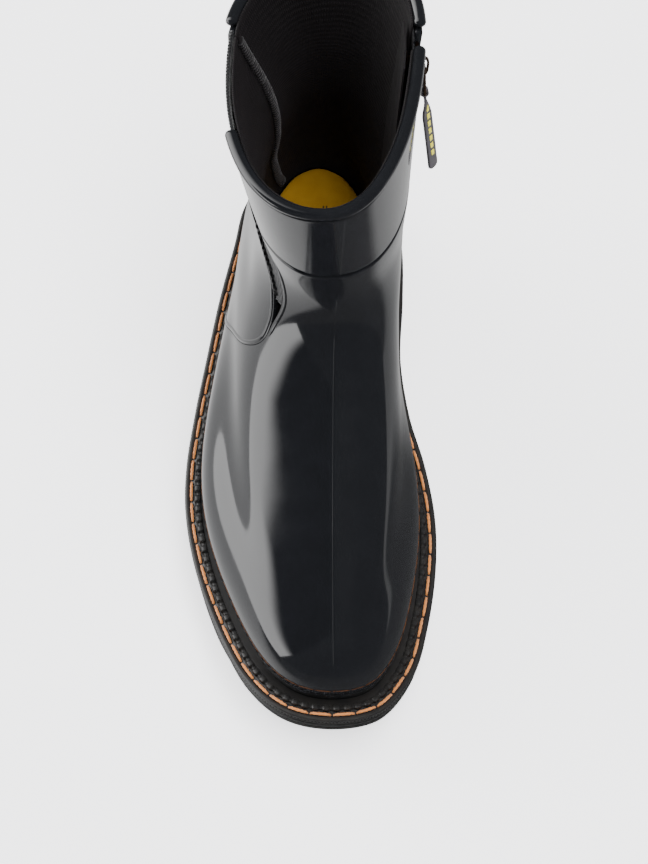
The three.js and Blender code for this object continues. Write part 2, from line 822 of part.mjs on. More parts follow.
function sliderBridge() {
  const shape = new THREE.Shape();
  const reach = sliderLength * 0.36;
  const inside = reach - bridgeWall;
  const lowTop = bridgeHeight - bridgeWall;
  shape.moveTo(-reach, -bridgeWall);
  shape.lineTo(-reach, lowTop * 0.6);
  shape.quadraticCurveTo(-reach * 0.9, bridgeHeight, 0, bridgeHeight);
  shape.quadraticCurveTo(reach * 0.9, bridgeHeight, reach, lowTop * 0.6);
  shape.lineTo(reach, -bridgeWall);
  shape.lineTo(inside, -bridgeWall);
  shape.lineTo(inside, lowTop * 0.6);
  shape.quadraticCurveTo(inside * 0.85, lowTop, 0, lowTop);
  shape.quadraticCurveTo(-inside * 0.85, lowTop, -inside, lowTop * 0.6);
  shape.lineTo(-inside, -bridgeWall);
  shape.closePath();
  const body = new THREE.ExtrudeGeometry(shape, {
    depth: bridgeWidth, bevelEnabled: false, curveSegments: 5,
  });
  return body.translate(0, 0, -bridgeWidth / 2).rotateY(Math.PI / 2)
    .translate(0, plateOut + sliderPlate, 0);
}

function slider() {
  const depth = tapeOuter + zipTapeWall + chainBow + clearance;
  const top = solid(outlinePlate(sliderWidth, sliderLength, sliderPlate, plateOut));
  const under = solid(outlinePlate(sliderWidth * 0.9, sliderLength * 0.9, 0.7, -depth - 0.7));
  const postHeight = depth + plateOut + 0.4;
  const post = solid(box(zipChainGap - 0.6, postHeight, sliderLength * 0.35, 0,
    plateOut + 0.2 - postHeight / 2, sliderLength * 0.2));
  return fromSolid(top.add(post).add(under).add(solid(sliderBridge())));
}

// Metal link: a bar under the bridge, a window round the bridge's leg, a window for the tab
function puller() {
  const length = 3 * barHeight + linkWindow + tabWindow;
  const top = barHeight / 2;
  const inside = pullerWidth - 2 * pullerArm;
  const frameBox = solid(box(pullerWidth, barThickness, length, 0, 0, top - length / 2));
  const first = solid(box(inside, 4, linkWindow, 0, 0, -top - linkWindow / 2));
  const second = solid(box(inside + 1, 4, tabWindow, 0, 0,
    -top - linkWindow - barHeight - tabWindow / 2));
  return fromSolid(frameBox.subtract(first).subtract(second));
}
const tabPivot = -(2 * barHeight + linkWindow + tabWindow);

// Pull tab: a strap folded round the link's lowest bar
function pullTab() {
  const loopOut = 1.9;
  const shape = new THREE.Shape();
  shape.absarc(0, 0, loopOut, 0, Math.PI * 2, false);
  const hole = new THREE.Path();
  hole.absarc(0, 0, loopOut - 0.75, 0, Math.PI * 2, true);
  shape.holes.push(hole);
  const width = pullerWidth - 2 * pullerArm + 0.3;
  const loop = new THREE.ExtrudeGeometry(shape, {
    depth: width, bevelEnabled: false, curveSegments: 6,
  }).translate(0, 0, -width / 2).rotateY(Math.PI / 2);
  const neck = box(width, tabThickness, 2.4, 0, 0, -loopOut - 0.9);
  const strap = box(tabWidth, tabThickness, tabLength, 0, 0, -loopOut - 2 - tabLength / 2);
  return fromSolid(solid(loop).add(solid(neck)).add(solid(strap)));
}

add('outsole', outsole(), 'sole');
add('heel_block', heelBlock(), 'sole');
add('heel_top_piece', heelTopPiece(), 'sole');
add('midsole', midsole(), 'sole');
add('shank', shank(), 'steel');
add('welt', welt(), 'welt');
add('welt_notched_rib', weltRib(), 'sole');
add('welt_stitching', weltStitching(), 'thread');
add('insole_board', insoleBoard(), 'board');
add('footbed', footbed(), 'insole');
add('vamp_shell', vampShell(), 'pvc');
add('quarter_shell', quarterShell(), 'pvc');
add('front_cuff', cuff(goreFront(-edgeShift), zipFront(-edgeShift), 22), 'pvc');
add('rear_cuff', cuff(zipRear(edgeShift), goreRear(edgeShift), 14), 'pvc');
add('front_rim_bead', rimBead(goreFront(-2 * clearance), zipFront(-clearance), 26), 'pvc');
add('rear_rim_bead', rimBead(zipRear(clearance), goreRear(clearance), 18), 'pvc');
add('gore_elastic', goreElastic(), 'elastic');
add('front_lining', lining(liningEdge(-edgeShift), zipSeam(-liningGap), 24), 'jersey');
add('rear_lining', lining(zipSeam(liningGap), liningRearEnd, 14), 'jersey');
add('zip_tape_front', zipTape(-zipTapeWidth - 0.9, -0.9), 'tape');
add('zip_tape_rear', zipTape(0.9, zipTapeWidth + 0.9), 'tape');
add('zip_teeth_front', zipTeeth(-1), 'gunmetal');
add('zip_teeth_rear', zipTeeth(1), 'gunmetal');
add('zip_guard', zipGuard(), 'jersey');
const topStops = onChain(stopLength / 2 + stopGap);
add('zip_top_stop_front', zipStop(zipToothWidth, toothMiddle), 'gunmetal', topStops);
add('zip_top_stop_rear', zipStop(zipToothWidth, -toothMiddle), 'gunmetal', topStops);
const chainLength = frame.high.distanceTo(frame.low);
const bottomStop = onChain(-chainLength - stopLength / 2 - stopGap);
add('zip_bottom_stop', zipStop(zipChainGap + zipToothWidth * 2, 0), 'gunmetal', bottomStop);

// The slider runs on the chain; the link swings on its bridge and the tab on the link
const sliderGroup = onChain(-sliderLength / 2 - clearance);
add('zip_slider', slider(), 'gunmetal', sliderGroup);
const pullerGroup = new THREE.Group();
pullerGroup.position.set(0, plateOut + sliderPlate + (bridgeHeight - bridgeWall) / 2, 0);
pullerGroup.rotation.x = pullerTilt;
sliderGroup.add(pullerGroup);
add('zip_puller', puller(), 'gunmetal', pullerGroup);
const tabGroup = new THREE.Group();
tabGroup.position.set(0, 0, tabPivot);
tabGroup.rotation.x = tabTilt;
pullerGroup.add(tabGroup);
add('pull_tab', pullTab(), 'tab', tabGroup);

export default boot;
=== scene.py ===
import math

import bmesh
import bpy
import numpy as np
from mathutils import Matrix, Vector


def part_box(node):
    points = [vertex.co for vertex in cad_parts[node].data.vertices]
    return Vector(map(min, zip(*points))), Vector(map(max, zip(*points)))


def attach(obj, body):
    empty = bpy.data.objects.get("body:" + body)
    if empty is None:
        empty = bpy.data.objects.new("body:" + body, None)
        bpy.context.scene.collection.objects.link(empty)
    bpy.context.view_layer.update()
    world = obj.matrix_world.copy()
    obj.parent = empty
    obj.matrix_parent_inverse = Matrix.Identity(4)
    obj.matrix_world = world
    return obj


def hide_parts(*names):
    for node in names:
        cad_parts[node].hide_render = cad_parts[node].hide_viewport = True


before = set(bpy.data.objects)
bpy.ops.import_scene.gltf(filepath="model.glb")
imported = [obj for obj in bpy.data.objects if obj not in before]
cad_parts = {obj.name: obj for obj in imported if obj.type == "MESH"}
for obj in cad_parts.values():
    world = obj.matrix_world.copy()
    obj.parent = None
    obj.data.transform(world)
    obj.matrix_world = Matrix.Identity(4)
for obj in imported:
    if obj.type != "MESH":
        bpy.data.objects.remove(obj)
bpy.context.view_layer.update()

mm = 0.001
fullTurn = 2 * math.pi

def hexColor(text):
    channels = [int(text[i:i + 2], 16) / 255 for i in (1, 3, 5)]
    linear = [c / 12.92 if c <= 0.04045 else ((c + 0.055) / 1.055) ** 2.4 for c in channels]
    return (*linear, 1.0)


def addNode(tree, kind, settings=None, values=None, links=None):
    node = tree.nodes.new(kind)
    for key, value in (settings or {}).items():
        setattr(node, key, value)
    for key, value in (values or {}).items():
        node.inputs[key].default_value = value
    for key, source in (links or {}).items():
        tree.links.new(source, node.inputs[key])
    return node


def smoothStep(t):
    t = np.clip(t, 0, 1)
    return t * t * (3 - 2 * t)


def through(pairs, at):
    # smooth curve through [position, value] pairs, straight past the ends
    x = np.array([p[0] for p in pairs], float)
    y = np.array([p[1] for p in pairs], float)
    at = np.asarray(at, float)
    slopes = np.empty_like(x)
    slopes[1:-1] = (y[2:] - y[:-2]) / (x[2:] - x[:-2])
    slopes[0] = (y[1] - y[0]) / (x[1] - x[0])
    slopes[-1] = (y[-1] - y[-2]) / (x[-1] - x[-2])
    i = np.clip(np.searchsorted(x, at) - 1, 0, len(x) - 2)
    span = x[i + 1] - x[i]
    t = (at - x[i]) / span
    t2 = t * t
    t3 = t2 * t
    curve = ((2 * t3 - 3 * t2 + 1) * y[i] + (t3 - 2 * t2 + t) * span * slopes[i]
             + (3 * t2 - 2 * t3) * y[i + 1] + (t3 - t2) * span * slopes[i + 1])
    straight = y[i] + (y[i + 1] - y[i]) * t
    return np.where((t < 0) | (t > 1), straight, curve)


def solve(f, low, high, steps=34):
    # root of a rising or falling function, many at once
    a = np.array(low, float)
    b = np.array(high, float)
    rising = f(b) > f(a)
    for _ in range(steps):
        mid = (a + b) / 2
        above = (f(mid) > 0) == rising
        b = np.where(above, mid, b)
        a = np.where(above, a, mid)
    return (a + b) / 2


print("stage: camera, light and floor")

view = {
    "target": (0.0061, -0.0345, 0.080),
    "elevation": 60,
    "distance": 1.0,
    "lens": 97.9,
    "sensor": 36,
}

studio = {
    "floorColor": "#f4f4f6",
    "floorGlow": 1.9,
    "world": 0.08,
    "leftStrength": 4.8,
    "leftPlace": (-0.85, 0.12, 0.95),
    "leftFacing": (-0.9, -0.02, 0.8),
    "leftHalfHeight": 1.25,
    "topPower": 215,
    "topPlace": (0, -0.1, 2.2),
    # painted reflection of the floor: how strongly it glows to glossy rays on the left, on the right
    # and everywhere else
    "paintedReflectionLeft": 1.3,
    "paintedReflectionRight": 0.6,
    "paintedReflectionFront": 0.15,
}


def makeCamera():
    data = bpy.data.cameras.new("camera")
    data.lens = view["lens"]
    data.sensor_width = view["sensor"]
    data.clip_start = 0.01
    camera = bpy.data.objects.new("camera", data)
    tilt = math.radians(view["elevation"])
    x, y, z = view["target"]
    away = view["distance"]
    camera.location = (x, y - math.cos(tilt) * away, z + math.sin(tilt) * away)
    camera.rotation_euler = (math.pi / 2 - tilt, 0, 0)
    bpy.context.scene.collection.objects.link(camera)
    bpy.context.scene.camera = camera


def makeTopFill():
    data = bpy.data.lights.new("fillTop", "AREA")
    data.shape = "RECTANGLE"
    data.size = data.size_y = 2.4
    data.energy = studio["topPower"]
    lamp = bpy.data.objects.new("fillTop", data)
    lamp.location = studio["topPlace"]
    turn = (-Vector(studio["topPlace"])).to_track_quat("-Z", "Y")
    lamp.rotation_euler = turn.to_euler()
    lamp.visible_glossy = False
    bpy.context.scene.collection.objects.link(lamp)


def makeWorld():
    world = bpy.data.worlds.new("studioAir")
    world.use_nodes = True
    background = world.node_tree.nodes["Background"]
    background.inputs["Color"].default_value = (0.93, 0.95, 1.0, 1.0)
    background.inputs["Strength"].default_value = studio["world"]
    bpy.context.scene.world = world


def ramp(tree, value, low, high, top=1.0):
    made = addNode(tree, "ShaderNodeMapRange", {"interpolation_type": "SMOOTHSTEP"},
                   {"From Min": low, "From Max": high, "To Max": top}, {"Value": value})
    return made.outputs[0]


def combine(tree, operation, first, second):
    return addNode(tree, "ShaderNodeMath", {"operation": operation}, None,
                   {0: first, 1: second}).outputs[0]


def paintedFloorReflection(tree, shader):
    # painted reflection: to glossy rays the floor glows on its own, strongly to the left, less to the
    # right and behind, faintly everywhere else, so the gloss mirrors a bright floor mostly on the left
    place = addNode(tree, "ShaderNodeTexCoord")
    parts = addNode(tree, "ShaderNodeSeparateXYZ", None, None, {"Vector": place.outputs["Object"]})
    x, y = parts.outputs["X"], parts.outputs["Y"]
    left = combine(tree, "MULTIPLY", ramp(tree, x, 0.0, -0.08, studio["paintedReflectionLeft"]),
                   ramp(tree, y, -0.22, -0.12))
    right = combine(tree, "MULTIPLY", ramp(tree, x, 0.0, 0.08, studio["paintedReflectionRight"]),
                    ramp(tree, y, 0.0, 0.05))
    both = combine(tree, "ADD", left, right)
    glow = addNode(tree, "ShaderNodeMath", {"operation": "ADD"}, {1: studio["paintedReflectionFront"]},
                   {0: both})
    # painted reflection: an emission that only glossy rays see in place of the floor
    paintedReflection = addNode(tree, "ShaderNodeEmission", None, None, {"Strength": glow.outputs[0]})
    path = addNode(tree, "ShaderNodeLightPath")
    choice = addNode(tree, "ShaderNodeMixShader", None, None,
                     {0: path.outputs["Is Glossy Ray"], 1: shader.outputs[0],
                      2: paintedReflection.outputs[0]})
    tree.links.new(choice.outputs[0], tree.nodes["Material Output"].inputs["Surface"])


def makeFloor():
    bm = bmesh.new()
    bmesh.ops.create_grid(bm, x_segments=1, y_segments=1, size=12)
    mesh = bpy.data.meshes.new("studioFloor")
    bm.to_mesh(mesh)
    bm.free()
    floor = bpy.data.objects.new("studioFloor", mesh)
    floor.location.z = -0.0002
    bpy.context.scene.collection.objects.link(floor)
    material = bpy.data.materials.new("paperFloor")
    material.use_nodes = True
    shader = material.node_tree.nodes["Principled BSDF"]
    shader.inputs["Base Color"].default_value = hexColor(studio["floorColor"])
    shader.inputs["Roughness"].default_value = 0.9
    shader.inputs["Emission Color"].default_value = hexColor(studio["floorColor"])
    shader.inputs["Emission Strength"].default_value = studio["floorGlow"]
    # the floor shows glossy rays a painted reflection, graded from left to right
    paintedFloorReflection(material.node_tree, shader)
    mesh.materials.append(material)


def makeLeftCloth():
    # a diffusion cloth hung to the left, lit so that it fades out overhead and at the front
    bm = bmesh.new()
    bmesh.ops.create_grid(bm, x_segments=1, y_segments=1, size=1)
    bmesh.ops.scale(bm, vec=(1, studio["leftHalfHeight"], 1), verts=bm.verts)
    mesh = bpy.data.meshes.new("leftCloth")
    bm.to_mesh(mesh)
    bm.free()
    cloth = bpy.data.objects.new("leftCloth", mesh)
    cloth.location = studio["leftPlace"]
    turn = Vector(studio["leftFacing"]).to_track_quat("Z", "Y")
    cloth.rotation_euler = turn.to_euler()
    bpy.context.scene.collection.objects.link(cloth)
    material = bpy.data.materials.new("litDiffusionCloth")
    material.use_nodes = True
    tree = material.node_tree
    tree.nodes.clear()
    place = addNode(tree, "ShaderNodeTexCoord")
    parts = addNode(tree, "ShaderNodeSeparateXYZ", None, None, {"Vector": place.outputs["Object"]})
    ends = combine(tree, "MAXIMUM", ramp(tree, parts.outputs["X"], 0.2, 0.0),
                   ramp(tree, parts.outputs["Y"], -0.3, -0.7))
    glow = combine(tree, "MULTIPLY", ramp(tree, parts.outputs["Y"], 1.25, -0.35), ends)
    power = addNode(tree, "ShaderNodeMath", {"operation": "MULTIPLY"}, {1: studio["leftStrength"]},
                    {0: glow})
    light = addNode(tree, "ShaderNodeEmission", None, None, {"Strength": power.outputs[0]})
    addNode(tree, "ShaderNodeOutputMaterial", None, None, {"Surface": light.outputs[0]})
    mesh.materials.append(material)


makeCamera()
makeWorld()
makeFloor()
makeLeftCloth()
makeTopFill()

print("stage: last and seams")

build = {
    "clearance": 0.35,
    "shellWall": 2.2,
    "cuffStep": 1.1,
    "beadRadius": 2.1,
    "rimHeight": 180,
    "cuffHeight": 38,
    "cuffDip": 6,
    "liningDepth": 3.6,
    "weltThickness": 3.6,
    "zipSlot": 10,
    "zipBottom": 70,
}

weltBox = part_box("welt")
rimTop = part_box("front_rim_bead")[1].z / mm
gx = (weltBox[1].x - weltBox[0].x) / mm / 112.098
gy = (weltBox[1].y - weltBox[0].y) / mm / 290
gz = (rimTop - build["beadRadius"]) / build["rimHeight"]
gz = round(gz, 2)

outlinePoints = np.array([
    (9.5, -145), (30.5, -140), (44.5, -121.5), (51.2, -98), (55.3, -70.8), (55.6, -45),
    (51.5, -19.4), (44.8, 5), (41.2, 32), (42.6, 61.6), (42.6, 90), (38, 114), (24, 136.5),
    (3.5, 145), (-17, 136.5), (-31, 114), (-36.2, 90), (-42.4, 61.6), (-47.8, 32),
    (-52.6, 5), (-55.8, -19.4), (-55.6, -43), (-50.5, -70), (-40.7, -98.5), (-28, -124),
    (-11.5, -140),
]) * (gx, gy)
heelIndex = 13
outlineCount = len(outlinePoints)

weltLine = [
    (-145, 27.6), (-100, 22), (-55, 21.5), (-15, 24.5), (25, 31), (65, 36), (105, 38), (145, 38),
]
treadLine = [
    (-145, 9), (-115, 3), (-80, 0), (-10, 0), (15, 3), (40, 9), (62, 15.5), (90, 18), (145, 18),
]
# height above the welt and how far the outline is set in: toe, ball, inner waist, outer waist, heel
lowLevels = [
    (1, (9.8, 9.5, 10.4, 9.5, 9.5)),
    (14, (7.2, 6.2, 4, 6.6, 6.8)),
    (27, (11.2, 9.8, 4, 8.4, 7.4)),
]
# height, front y, back y, widest y, outer and inner half width, front and back x, front and
# back roundness
highLevels = [
    (38, -120, 137, -12, 42, 33, 10, 3.5, 2.25, 2.48),
    (49, -98, 135.5, 2, 39.5, 32, 10, 3.5, 2.15, 2.55),
    (59, -67, 134, 20, 36.5, 31.5, 10, 3.5, 2.05, 2.5),
    (70, -35, 132.5, 38, 33.5, 31.5, 10, 3.5, 2, 2.4),
    (83, -9, 131, 50, 31.8, 33, 9.5, 3.5, 2, 2.3),
    (98, 3, 129.5, 58, 31.4, 33.6, 9, 4, 2, 2.2),
    (116, 5.5, 130.5, 66, 33, 34.9, 8, 5.5, 2, 2.1),
    (140, 6, 134, 75, 37, 35.1, 6.8, 9, 2.1, 2.1),
    (180, 6.4, 143.5, 93, 47, 34.6, 6.2, 15.4, 2.2, 2.4),
]
netColumns = 36

# seams, as the y of the edge at each height
goreFrontLine = [
    (30, 70), (38, 60), (50, 42), (65, 25), (78, 11), (88, 5.5), (98, 9.5), (111, 14), (140, 28),
    (180, 50),
]
goreRearLine = [
    (30, 70), (38, 60), (50, 42), (65, 25), (78, 11), (88, 5.5), (96, 9), (105, 16), (115, 24),
    (128, 40), (145, 64), (180, 104),
]
lobeLine = [(30, 58), (36, 49), (45, 33), (53, 25), (60, 23), (66, 30), (72, 46)]
zipLine = [(60, 49), (182, 99)]
liningSeamLine = [(30, 128), (60, 119), (110, 108), (180, 98)]


def weltTop(y):
    return through(weltLine, np.asarray(y) / gy)


def treadBottom(y):
    return np.maximum(0, through(treadLine, np.asarray(y) / gy))


def seamY(line, z):
    return through(line, np.asarray(z) / gz) * gy


def outlineAt(t):
    t = np.asarray(t, float)
    i = np.floor(t).astype(int)
    f = (t - i)[..., None]
    p = [outlinePoints[(i + k) % outlineCount] for k in (-1, 0, 1, 2)]
    return 0.5 * (2 * p[1] + (p[2] - p[0]) * f + (2 * p[0] - 5 * p[1] + 4 * p[2] - p[3]) * f ** 2
                  + (3 * p[1] - p[0] - 3 * p[2] + p[3]) * f ** 3)


def insetAt(t, inset):
    # outline moved inwards by a distance, or by a function of y
    p = outlineAt(t)
    d = outlineAt(np.asarray(t) + 0.01) - outlineAt(np.asarray(t) - 0.01)
    d = d / np.linalg.norm(d, axis=-1, keepdims=True)
    depth = inset(p[..., 1]) if callable(inset) else inset
    depth = np.broadcast_to(np.asarray(depth, float), p[..., 0].shape)
    return np.stack([p[..., 0] - d[..., 1] * depth, p[..., 1] + d[..., 0] * depth], -1)


def outlineParameter(side, y, inset=0.0):
    # where the inset outline has a given y, on the inner (+1) or outer (-1) side
    y = np.asarray(y, float)
    start = np.zeros_like(y) if side > 0 else np.full_like(y, outlineCount)
    return solve(lambda t: insetAt(t, inset)[..., 1] - y, start, np.full_like(y, heelIndex))


def levelHeight(h, y):
    return h * gz + weltTop(y) * (1 - h / 180)


def makeNet():
    rows = []
    angles = fullTurn * np.arange(netColumns) / netColumns
    c = np.cos(angles)
    side = np.where(np.sin(angles) >= 0, 1, -1)
    for h, (toe, ball, innerWaist, outerWaist, heel) in lowLevels:
        row = np.zeros((netColumns, 3))
        for j in range(netColumns):
            waist = innerWaist if side[j] > 0 else outerWaist
            pairs = [(-145, toe), (-95, ball + 1), (-50, ball), (10, waist),
                     (60, (waist + heel) / 2), (100, heel), (145, heel)]

            def profile(y, pairs=pairs):
                return through(pairs, np.asarray(y) / gy)

            front = insetAt(0.0, profile)
            back = insetAt(float(heelIndex), profile)
            widest = -10 * gy
            y = widest - (widest - front[1]) * c[j] if c[j] > 0 else widest - (back[1] - widest) * c[j]
            if j == 0:
                x = front[0]
            elif j == netColumns // 2:
                x = back[0]
            else:
                x = insetAt(outlineParameter(side[j], y, profile), profile)[0]
            row[j] = (x, y, levelHeight(h, y))
        rows.append(row)
    for h, front, back, widest, outer, inner, frontX, backX, frontRound, backRound in highLevels:
        half = np.where(side > 0, inner, -outer)
        power = np.where(c > 0, frontRound, backRound)
        y = np.where(c > 0, widest - (widest - front) * c, widest - (back - widest) * c)
        spread = (1 - np.abs(c) ** power) ** (1 / power)
        x = frontX + (backX - frontX) * (y - front) / (back - front) + half * spread
        rows.append(np.stack([x * gx, y * gy, levelHeight(h, y * gy)], -1))
    return np.array(rows)


net = makeNet()
netPadded = np.concatenate([[2 * net[0] - net[1]], net, [2 * net[-1] - net[-2]]])


def splineWeights(t):
    s = 1 - t
    return (s ** 3 / 6, (3 * t ** 3 - 6 * t ** 2 + 4) / 6, (3 * s ** 3 - 6 * s ** 2 + 4) / 6,
            t ** 3 / 6)


def last(angle, v):
    # point of the last: angle 0 at the toe, growing towards the inner side; v 0 welt, 1 rim
    angle, v = np.broadcast_arrays(np.asarray(angle, float), np.asarray(v, float))
    u = angle / fullTurn * netColumns
    i = np.floor(u).astype(int)
    s = np.clip(v, 0, 1) * (len(net) - 1)
    k = np.minimum(np.floor(s).astype(int), len(net) - 2)
    alongWeights = splineWeights(u - i)
    upWeights = splineWeights(s - k)
    point = np.zeros(angle.shape + (3,))
    for b in range(4):
        for a in range(4):
            weight = (alongWeights[a] * upWeights[b])[..., None]
            point += netPadded[k + b, (i - 1 + a) % netColumns] * weight
    return point


def lastNormal(angle, v):
    e = 0.004
    along = last(angle + e, v) - last(angle - e, v)
    up = last(angle, np.minimum(v + e, 1)) - last(angle, np.maximum(v - e, 0))
    normal = np.cross(along, up)
    return normal / np.linalg.norm(normal, axis=-1, keepdims=True)


def skin(angle, v, depth):
    depth = np.broadcast_to(np.asarray(depth, float), np.broadcast(angle, v).shape)
    return last(angle, v) - lastNormal(angle, v) * depth[..., None]


ringAngles = np.linspace(0, fullTurn, 1441)[:-1]


def toHeight(z):
    # v of a height, or of a height that is a function of the angle, all the way round
    z = z(ringAngles) if callable(z) else z
    rise = solve(lambda v: last(ringAngles, v)[:, 2] - z, np.zeros(len(ringAngles)),
                 np.ones(len(ringAngles)))
    return lambda a: np.interp(a, ringAngles, rise, period=fullTurn)


def feather(a):
    return np.zeros_like(np.asarray(a, float))


def seam(side, line, shift=0.0):
    # angle where a seam crosses each row
    def cross(rowOf, count):
        def f(a):
            p = last(side * a, rowOf(side * a))
            return p[:, 1] - seamY(line, p[:, 2]) - shift
        return side * solve(f, np.full(count, 0.02), np.full(count, math.pi - 0.02))
    return cross


def innerEdge(slotShift, shift):
    def cross(rowOf, count):
        def f(a):
            p = last(a, rowOf(a))
            blend = smoothStep((p[:, 2] / gz - build["zipBottom"] + 10) / 6)
            lobe = seamY(lobeLine, p[:, 2])
            slot = seamY(zipLine, p[:, 2]) + slotShift
            return p[:, 1] - (lobe + (slot - lobe) * blend) - shift
        return solve(f, np.full(count, 0.02), np.full(count, math.pi - 0.02))
    return cross


def goreRear(shift):
    def cross(rowOf, count):
        rear = seam(-1, goreRearLine, shift)(rowOf, count)
        front = seam(-1, goreFrontLine, shift)(rowOf, count)
        return np.minimum(rear, front) + fullTurn
    return cross


def panelNet(low, high, start, end, cols, rows, reach=0.45, fineTop=0):
    # angle and v of each grid point of a panel; only the columns near an edge follow its swings
    s = np.linspace(0, 1, rows + 1)
    if fineTop:
        s = np.concatenate([np.linspace(0, 0.965, rows + 1 - fineTop),
                            np.linspace(0.965, 1, fineTop + 1)[1:]])

    def rowOf(a):
        return low(a) + (high(a) - low(a)) * s

    a0 = start(rowOf, rows + 1)
    a1 = end(rowOf, rows + 1)
    plain0 = a0[0] + (a0[-1] - a0[0]) * s
    plain1 = a1[0] + (a1[-1] - a1[0]) * s
    t = np.linspace(0, 1, cols + 1)
    near0 = 1 - smoothStep(t / reach)
    near1 = smoothStep((t - 1 + reach) / reach)
    angle = (np.outer(plain0, 1 - t) + np.outer(plain1, t) + np.outer(a0 - plain0, near0)
             + np.outer(a1 - plain1, near1))
    v = low(angle) + (high(angle) - low(angle)) * s[:, None]
    return angle, v


def netBm(points, closedShell=False, uvSize=None):
    # a grid whose vertices are carried to the points of a net, in millimetres
    rows, cols = points.shape[0] - 1, points.shape[1] - 1
    bm = bmesh.new()
    bmesh.ops.create_grid(bm, x_segments=cols, y_segments=rows, size=0.5, calc_uvs=True)
    uvLayer = bm.loops.layers.uv.verify()
    for vert in bm.verts:
        col = round((vert.co.x + 0.5) * cols)
        row = round((vert.co.y + 0.5) * rows)
        vert.co = points[row, col] * mm
        if uvSize:
            for loop in vert.link_loops:
                loop[uvLayer].uv = (col / cols * uvSize[0] * mm, row / rows * uvSize[1] * mm)
    if closedShell:
        bmesh.ops.remove_doubles(bm, verts=bm.verts, dist=1e-6)
        bmesh.ops.dissolve_degenerate(bm, dist=1e-7, edges=bm.edges)
        bmesh.ops.recalc_face_normals(bm, faces=bm.faces)
    return bm


def netMesh(name, points, **options):
    return bmToObject(netBm(points, **options), name)


def bmToObject(bm, name, smooth=True):
    mesh = bpy.data.meshes.new(name)
    for face in bm.faces:
        face.smooth = smooth
    bm.to_mesh(mesh)
    bm.free()
    piece = bpy.data.objects.new(name, mesh)
    bpy.context.scene.collection.objects.link(piece)
    return piece


def addWall(piece, thickness, edge=0.0, segments=2):
    solid = piece.modifiers.new("wall", "SOLIDIFY")
    solid.thickness = thickness * mm
    solid.offset = -1
    if edge:
        bevel = piece.modifiers.new("softEdge", "BEVEL")
        bevel.width = edge * mm
        bevel.segments = segments
        bevel.limit_method = "ANGLE"
        bevel.angle_limit = math.radians(50)


def dress(piece, material, body="boot"):
    piece.data.materials.append(material)
    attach(piece, body)


def ringSweep(name, centres, outs, ups, section):
    # a section of (out, up) points carried along a line and closed at both ends
    count = len(centres)
    around = len(section)
    points = np.zeros((count, around + 1, 3))
    for k in range(around + 1):
        out, up = section[k % around]
        out = np.broadcast_to(np.asarray(out, float), (count,))[:, None]
        up = np.broadcast_to(np.asarray(up, float), (count,))[:, None]
        points[:, k] = centres + outs * out + ups * up
    first = points[0].mean(0, keepdims=True).repeat(around + 1, 0)[None]
    final = points[-1].mean(0, keepdims=True).repeat(around + 1, 0)[None]
    points = np.concatenate([first, points, final])
    return netMesh(name, points, closedShell=True)


def circleSection(radiusOut, radiusUp, around):
    angles = fullTurn * np.arange(around) / around
    return [(math.cos(a) * radiusOut, math.sin(a) * radiusUp) for a in angles]


print("stage: materials")


def newMaterial(name, color, roughness, **sockets):
    material = bpy.data.materials.new(name)
    material.use_nodes = True
    material.diffuse_color = hexColor(color)
    tree = material.node_tree
    shader = tree.nodes["Principled BSDF"]
    shader.inputs["Base Color"].default_value = hexColor(color)
    shader.inputs["Roughness"].default_value = roughness
    for key, value in sockets.items():
        shader.inputs[key].default_value = value
    place = addNode(tree, "ShaderNodeTexCoord")
    return material, tree, shader, place


def perMm(size):
    # texture scale for a pattern whose repeat is a size in millimetres
    return 1 / (size * mm)


def colorSpread(tree, shader, factor, dark, light):
    mix = addNode(tree, "ShaderNodeMix", {"data_type": "RGBA"}, {6: hexColor(dark), 7: hexColor(light)},
                  {0: factor})
    tree.links.new(mix.outputs[2], shader.inputs["Base Color"])


def roughSpread(tree, shader, factor, low, high):
    spread = addNode(tree, "ShaderNodeMapRange", None, {"To Min": low, "To Max": high},
                     {"Value": factor})
    tree.links.new(spread.outputs["Result"], shader.inputs["Roughness"])


def bumpFrom(tree, shader, height, strength, distance):
    bump = addNode(tree, "ShaderNodeBump", None, {"Strength": strength, "Distance": distance * mm},
                   {"Height": height})
    tree.links.new(bump.outputs["Normal"], shader.inputs["Normal"])


def noise(tree, place, size, detail=2.0, roughness=0.5):
    return addNode(tree, "ShaderNodeTexNoise", None,
                   {"Scale": perMm(size), "Detail": detail, "Roughness": roughness},
                   {"Vector": place.outputs["Object"]})


def mottled(name, color, roughness, spots, colors, rough=None, grain=None, bump=None, **sockets):
    # a colour that wanders between two shades over spots of a size in millimetres; the same noise,
    # or a grain of its own, raises the surface
    material, tree, shader, place = newMaterial(name, color, roughness, **sockets)
    factor = noise(tree, place, *spots).outputs["Fac"]
    colorSpread(tree, shader, factor, *colors)
    if rough:
        roughSpread(tree, shader, factor, *rough)
    if bump:
        height = noise(tree, place, *grain).outputs["Fac"] if grain else factor
        bumpFrom(tree, shader, height, *bump)
    return material


def wave(tree, place, direction, size, distortion, coordinate="UV", **values):
    # bands a distance apart in millimetres
    return addNode(tree, "ShaderNodeTexWave", {"bands_direction": direction},
                   {"Scale": perMm(size) / fullTurn * 2, "Distortion": distortion, **values},
                   {"Vector": place.outputs[coordinate]})


